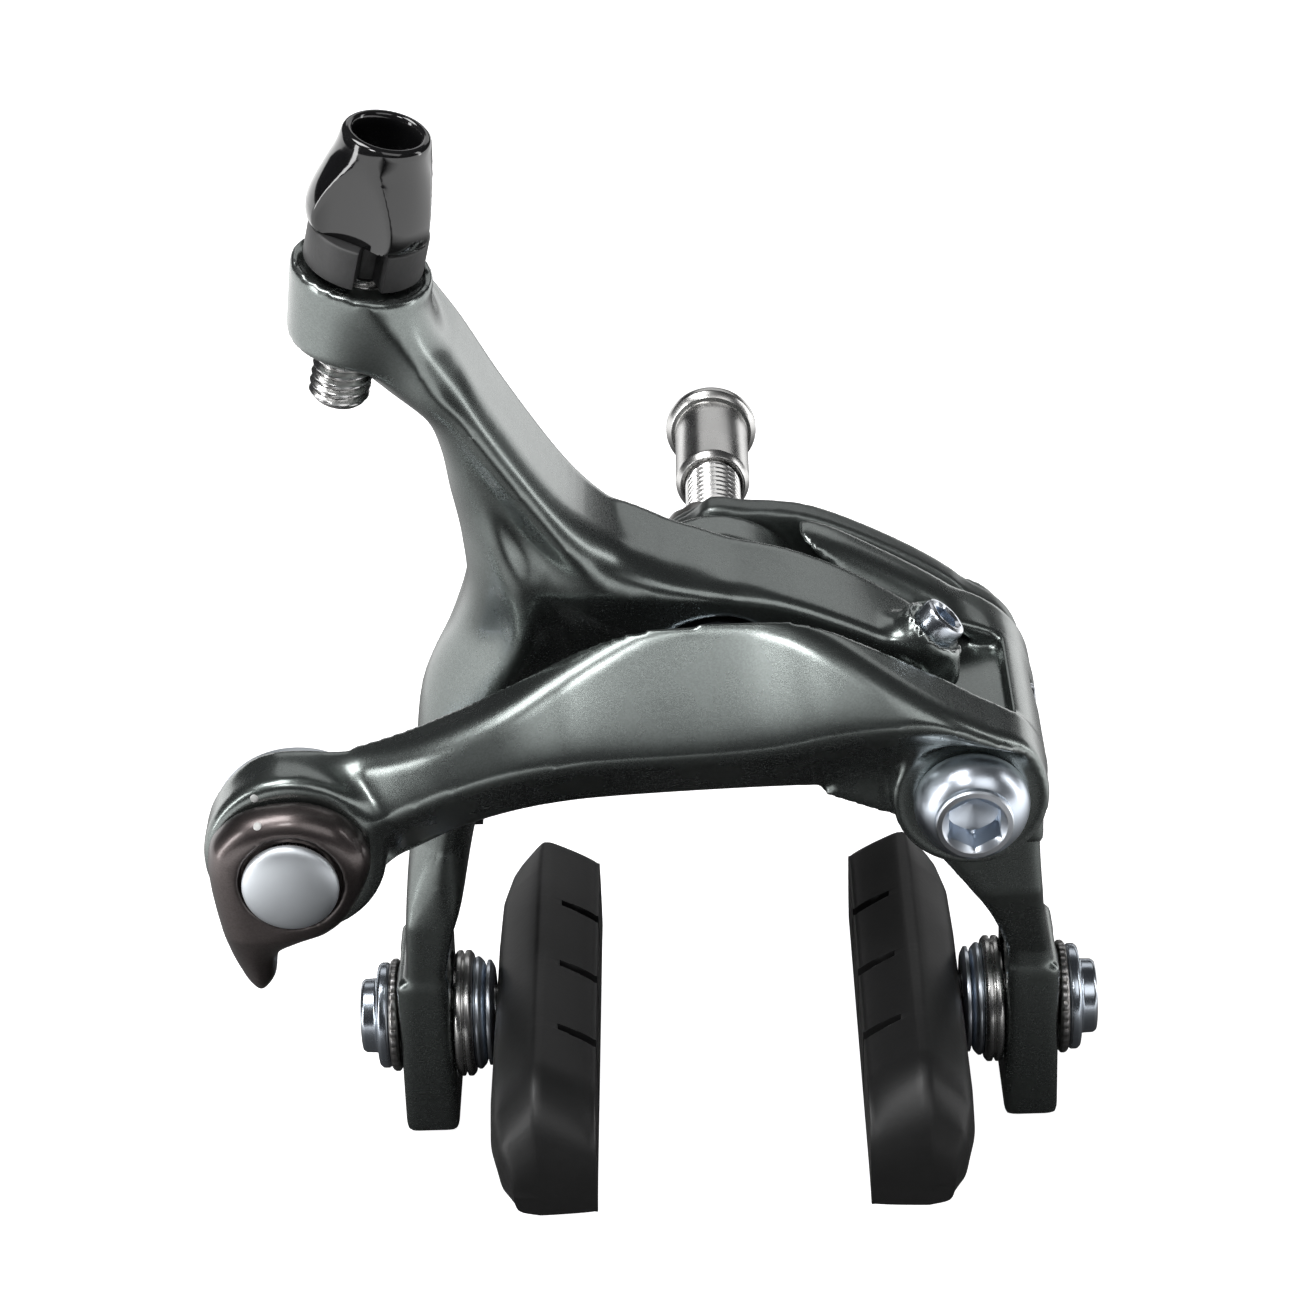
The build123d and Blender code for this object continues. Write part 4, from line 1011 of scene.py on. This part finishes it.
shoe = {"back": 1.0, "front": -48.2, "roll": 8.5, "inner": 13.7, "ridge": 19.4, "rings": 150,
        "grooves": (-33.2, -21.9, -10.7), "foot": -5.0,
        "section": [(13.72, 4.4), (13.95, 5.2), (15.6, 6.4), (18.4, 7.9), (19.4, 8.2), (20.4, 7.9),
                    (23.0, 5.6), (24.1, 4.2), (24.5, 2.4), (24.6, 0.5), (24.4, -1.4), (23.9, -3.0),
                    (22.8, -4.0), (20.4, -4.8), (19.2, -5.0), (16.0, -4.6), (14.1, -4.1), (13.72, -3.5)]}


def makePad(side, word, s):
    # section across the rim carried along y: the front rolls over in a quarter ellipse, the outer side bows
    # out in the middle of the length, and the grooves are narrow dips in the braking face
    section = closedCurve(s["section"], 3)
    across = np.array([-0.62, -0.5, -0.4, 0, 0.4, 0.5, 0.62])     # extra rings over each groove
    even = np.linspace(s["front"], s["back"], s["rings"])
    y = np.unique(np.concatenate([even] + [g + across for g in s["grooves"]]))
    fromFront, fromBack = y - s["front"], s["back"] - y
    f = fromFront / (s["back"] - s["front"])
    roll = np.sqrt(np.clip(1 - (1 - np.clip(fromFront / s["roll"], 0, 1)) ** 2, 0, 1))
    tall = (0.36 + 0.64 * roll) * (0.95 + 0.05 * np.clip(fromBack / 0.8, 0, 1))
    bow = np.interp(f, [0, 0.04, 0.10, 0.2, 0.32, 0.55, 0.75, 0.88, 0.96, 1],
                    [0.52, 0.82, 0.97, 1, 1, 1, 1, 0.97, 0.82, 0.66])
    beyond = np.maximum(section[None, :, 0] - s["ridge"], 0)
    x = np.minimum(section[None, :, 0], s["ridge"]) + beyond * bow[:, None]
    z = s["foot"] + (section[None, :, 1] - s["foot"]) * tall[:, None]
    dip = np.zeros_like(y)
    for g in s["grooves"]:
        dip = np.maximum(dip, np.clip((0.62 - np.abs(y - g)) / 0.2, 0, 1))
    reach = 1.3 + 2.6 * np.clip((section[None, :, 1] - 1.0) / 2.0, 0, 1)
    x = np.where(section[None, :, 1] > -4.2, np.maximum(x, s["inner"] + dip[:, None] * reach), x)
    rings = np.stack([side * x, np.broadcast_to(y[:, None], x.shape), shoeZ + z], 2)
    points, faces = closedEnds(rings)
    if side < 0:
        faces = [part[:, ::-1] for part in faces]
    addPiece(word + "BrakePad", points, faces, word + "_shoe", [word + "_brake_pad"],
             padRubber, 40)


def makeShoeStack(side, word):
    origin, out = (0, shoeY, shoeZ), (side, 0, 0)
    stud = [(0, 18.8), (2.95, 18.8), (2.95, 24.0)] + boltThread(24.2, 37.4, 2.98, 0.4, 1.0) + [(0, 37.45)]
    thread = threadShape(24.2, 37.4, 0.4, 1.0)
    cut = lambda t, r, h: (np.where((r > 2.5) & (h > 24.1), thread(t, r, h)[0], r), h)
    hexed = lambda t, r, h: (np.where((r < 2.95) & (h > 37.48), hexRadius(t, 5.0), r), h)
    ridged = lambda t, r, h: (r - 0.10 * (np.abs((t * 36 / (2 * math.pi)) % 1 * 2 - 1) > 0.5) * (r > 5.9), h)
    points, faces = turned(stud, origin, out, 48, cut)
    addPiece(word + "ShoeStud", points, faces, word + "_shoe", [word + "_shoe_stud"],
             brushedSteel, 50)
    cup = [(3.02, 25.1), (3.02, 24.72), (4.9, 24.72), (5.6, 25.1), (5.6, 25.48), (3.02, 25.48), (3.02, 25.1)]
    ball = [(3.02, 26.2), (3.02, 25.52), (4.6, 25.52), (5.5, 25.85), (5.98, 26.3), (5.98, 26.6), (5.7, 26.88),
            (3.02, 26.88), (3.02, 26.2)]
    spacer = [(3.05, 27.9), (3.05, 26.92), (6.3, 26.92), (6.68, 27.25), (6.68, 27.72), (6.3, 27.86),
              (6.3, 28.0), (6.68, 28.12), (6.68, 28.55), (6.4, 28.84), (3.05, 28.84), (3.05, 27.9)]
    outer = [(3.05, 35.3), (3.05, 34.76), (5.6, 34.76), (5.98, 35.05), (5.98, 35.5), (5.7, 35.78),
             (3.05, 35.78), (3.05, 35.3)]
    nut = [(3.0, 36.5), (3.0, 35.82), (5.3, 35.82), (5.6, 36.1), (5.6, 36.75), (5.3, 37.08), (4.3, 37.12),
           (3.95, 37.4), (3.9, 38.55), (3.65, 38.88), (3.15, 38.88), (2.93, 38.7), (2.93, 37.5),
           (2.9, 37.45), (3.0, 37.4), (3.0, 36.5)]
    rings = {"CupWasher": (cup, "_shoe", "_cup_washer", "bright_steel", polishedSteel, None),
             "BallWasher": (ball, "_shoe", "_ball_washer", "bright_steel", polishedSteel, None),
             "Spacer": (spacer, "_slider", "_spacer", "stainless", brushedSteel, None),
             "OuterWasher": (outer, "_slider", "_outer_washer", "stainless", springSteel, ridged),
             "ShoeNut": (nut, "_shoe", "_shoe_nut", "zinc_steel", zincSteel, hexed)}
    for name, (rows, body, node, slot, material, reshape) in rings.items():
        points, faces = revolvedRing(softCorners(rows, 0.1, 2), origin, out, 144, reshape)
        addPiece(word + name, points, faces, word + body, [word + node], material, 28)


for word, side in (("left", -1), ("right", 1)):
    makePad(side, word, shoe)
    makeShoeStack(side, word)
print("brake shoes made")


# return spring

spring = {"radius": 0.88, "bendStart": (4.0, -11.2, -12.0), "bendEnd": (-22.0, -11.2, -17.5),
          "route": [(8.6, -4.6, -9.6), (8.6, -7.6, -9.6), (8.4, -9.6, -9.7), (7.4, -10.9, -10.4),
                                    (5.2, -11.2, -11.6), (2.4, -11.2, -12.8), (-1.0, -11.2, -13.3),
                                    (-7.0, -11.2, -13.3), (-12.4, -11.2, -13.4), (-17.0, -11.2, -15.0),
                                    (-21.6, -11.2, -17.3), (-26.0, -11.2, -19.5)]}


def makeSpring(s):
    # round wire carried along a smooth route, with a domed tip
    line = openCurve(s["route"], 8)
    along = np.gradient(line, axis=0)
    along /= np.linalg.norm(along, axis=1, keepdims=True)
    side = np.cross(along, (0.3, 0.2, 1.0))
    side /= np.linalg.norm(side, axis=1, keepdims=True)
    other = np.cross(along, side)
    theta = np.linspace(0, 2 * math.pi, 20, endpoint=False)
    size = s["radius"] * np.ones(len(line))
    size[-2:] *= (0.9, 0.55)
    rings = (line[:, None] + size[:, None, None] * (np.cos(theta)[None, :, None] * side[:, None]
                                                   + np.sin(theta)[None, :, None] * other[:, None]))
    points, faces = closedEnds(rings)
    piece = addPiece("returnSpring", points, faces, None, ["return_spring"], springSteel)
    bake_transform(piece)


makeSpring(spring)
print("return spring made")


# frame pieces whose shape is already right keep it and get a finish

kept = {"front_thrust_washer": grainedPlastic, "rear_thrust_washer": grainedPlastic,
        "side_thrust_washer": grainedPlastic, "spring_seat": grainedPlastic, "contact_block": grainedPlastic,
        "centre_bush": bushPlastic, "side_bush": bushPlastic, "anchor_clip": springSteel}
for node, material in kept.items():
    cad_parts[node].data.materials.clear()
    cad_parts[node].data.materials.append(material)


# camera, lights and floor

# the camera's lens in millimetres and its place, its rows being right, up, back and position in metres
eye = {"lens": 103.85, "sensor": 36.0,
       "rows": ((0.9994178, 0.0297938, 0.0166220, -0.000579), (-0.0006693, 0.5042346, -0.8635664, -0.345378),
                (-0.0341103, 0.8630526, 0.5039610, 0.189910), (0, 0, 0, 1))}
lights = {     # each panel's place, the point it looks at, its width and height, and its power in watts
    "topSoftbox": {"at": (-0.25, -0.05, 0.60), "look": (0, -0.02, 0), "size": (0.30, 0.26), "power": 2.3},
    "keyPanel": {"at": (-0.16, -0.42, 0.62), "look": (0, -0.02, 0), "size": (0.13, 0.13), "power": 0.9},
    "backSoftbox": {"at": (0.10, 0.70, 0.42), "look": (0, 0, 0), "size": (0.80, 0.30), "power": 0.65},
    "leftStrip": {"at": (-0.50, -0.22, 0.12), "look": (0, -0.02, 0), "size": (0.10, 0.50), "power": 1.3},
    "rightSoftbox": {"at": (0.32, -0.50, 0.60), "look": (0, -0.02, 0), "size": (0.50, 0.42), "power": 1.0},
    "rightStrip": {"at": (0.48, 0.02, 0.10), "look": (0, -0.02, 0), "size": (0.08, 0.40), "power": 0.4},
}
ground = {"half": 6.0, "height": -0.0558, "white": (0.80, 0.80, 0.80, 1), "dark": (0.03, 0.03, 0.03, 1),
          "nearEdge": 0.06, "fade": 0.12, "sideEdge": 0.02, "glow": 1.5, "world": 0.03}


def buildStage():
    camera = bpy.data.cameras.new("camera")
    camera.lens, camera.sensor_width = eye["lens"], eye["sensor"]
    view = bpy.data.objects.new("camera", camera)
    bpy.context.scene.collection.objects.link(view)
    view.matrix_world = Matrix(eye["rows"])
    bpy.context.scene.camera = view
    for name, s in lights.items():
        lamp = bpy.data.lights.new(name, "AREA")
        lamp.shape, lamp.size, lamp.size_y, lamp.energy = "RECTANGLE", s["size"][0], s["size"][1], s["power"]
        light = bpy.data.objects.new(name, lamp)
        bpy.context.scene.collection.objects.link(light)
        z = np.array(s["at"]) - np.array(s["look"])
        a, b, c = axesOf(z)
        light.matrix_world = Matrix([[a[i], b[i], c[i], s["at"][i]] for i in range(3)] + [[0, 0, 0, 1]])
    world = bpy.data.worlds.new("studio")
    bpy.context.scene.world = world
    world.use_nodes = True
    world.node_tree.nodes["Background"].inputs["Color"].default_value = (0.9, 0.93, 1.0, 1)
    world.node_tree.nodes["Background"].inputs["Strength"].default_value = ground["world"]
    bpy.context.scene.view_settings.view_transform = "Standard"
    mesh = bpy.data.meshes.new("floor")
    size, low = ground["half"], ground["height"]
    mesh.from_pydata([(-size, -size, low), (size, -size, low), (size, size, low), (-size, size, low)], [],
                     [(0, 1, 2, 3)])
    floor = bpy.data.objects.new("floor", mesh)
    bpy.context.scene.collection.objects.link(floor)
    material = bpy.data.materials.new("pale floor")
    material.use_nodes = True
    tree = material.node_tree
    shader = tree.nodes["Principled BSDF"]
    shader.inputs["Roughness"].default_value = 0.9
    # reflections see the floor dark under the object and bright further out; the camera sees it white
    path = put(tree, "ShaderNodeLightPath")
    spot = put(tree, "ShaderNodeTexCoord").outputs["Object"]
    far = put(tree, "ShaderNodeVectorMath", {0: spot}, operation="LENGTH").outputs["Value"]
    beyond = maths(tree, "SUBTRACT", far, ground["nearEdge"])
    outwardFade = maths(tree, "DIVIDE", beyond, ground["fade"], True)
    aside = maths(tree, "ABSOLUTE", put(tree, "ShaderNodeSeparateXYZ", {0: spot}).outputs["X"])
    sideFade = maths(tree, "DIVIDE", maths(tree, "SUBTRACT", aside, ground["sideEdge"]), ground["fade"], True)
    fade = maths(tree, "MULTIPLY", outwardFade, sideFade)
    toGlossy, toCamera = path.outputs["Is Glossy Ray"], path.outputs["Is Camera Ray"]
    tree.links.new(mixColors(tree, toGlossy, ground["white"], ground["dark"]), shader.inputs["Base Color"])
    shine = maths(tree, "MULTIPLY", toGlossy, maths(tree, "MULTIPLY", fade, ground["glow"]))
    tree.links.new(maths(tree, "ADD", toCamera, shine), shader.inputs["Emission Strength"])
    shader.inputs["Emission Color"].default_value = (1, 1, 1, 1)
    mesh.materials.append(material)


buildStage()
print("stage ready")
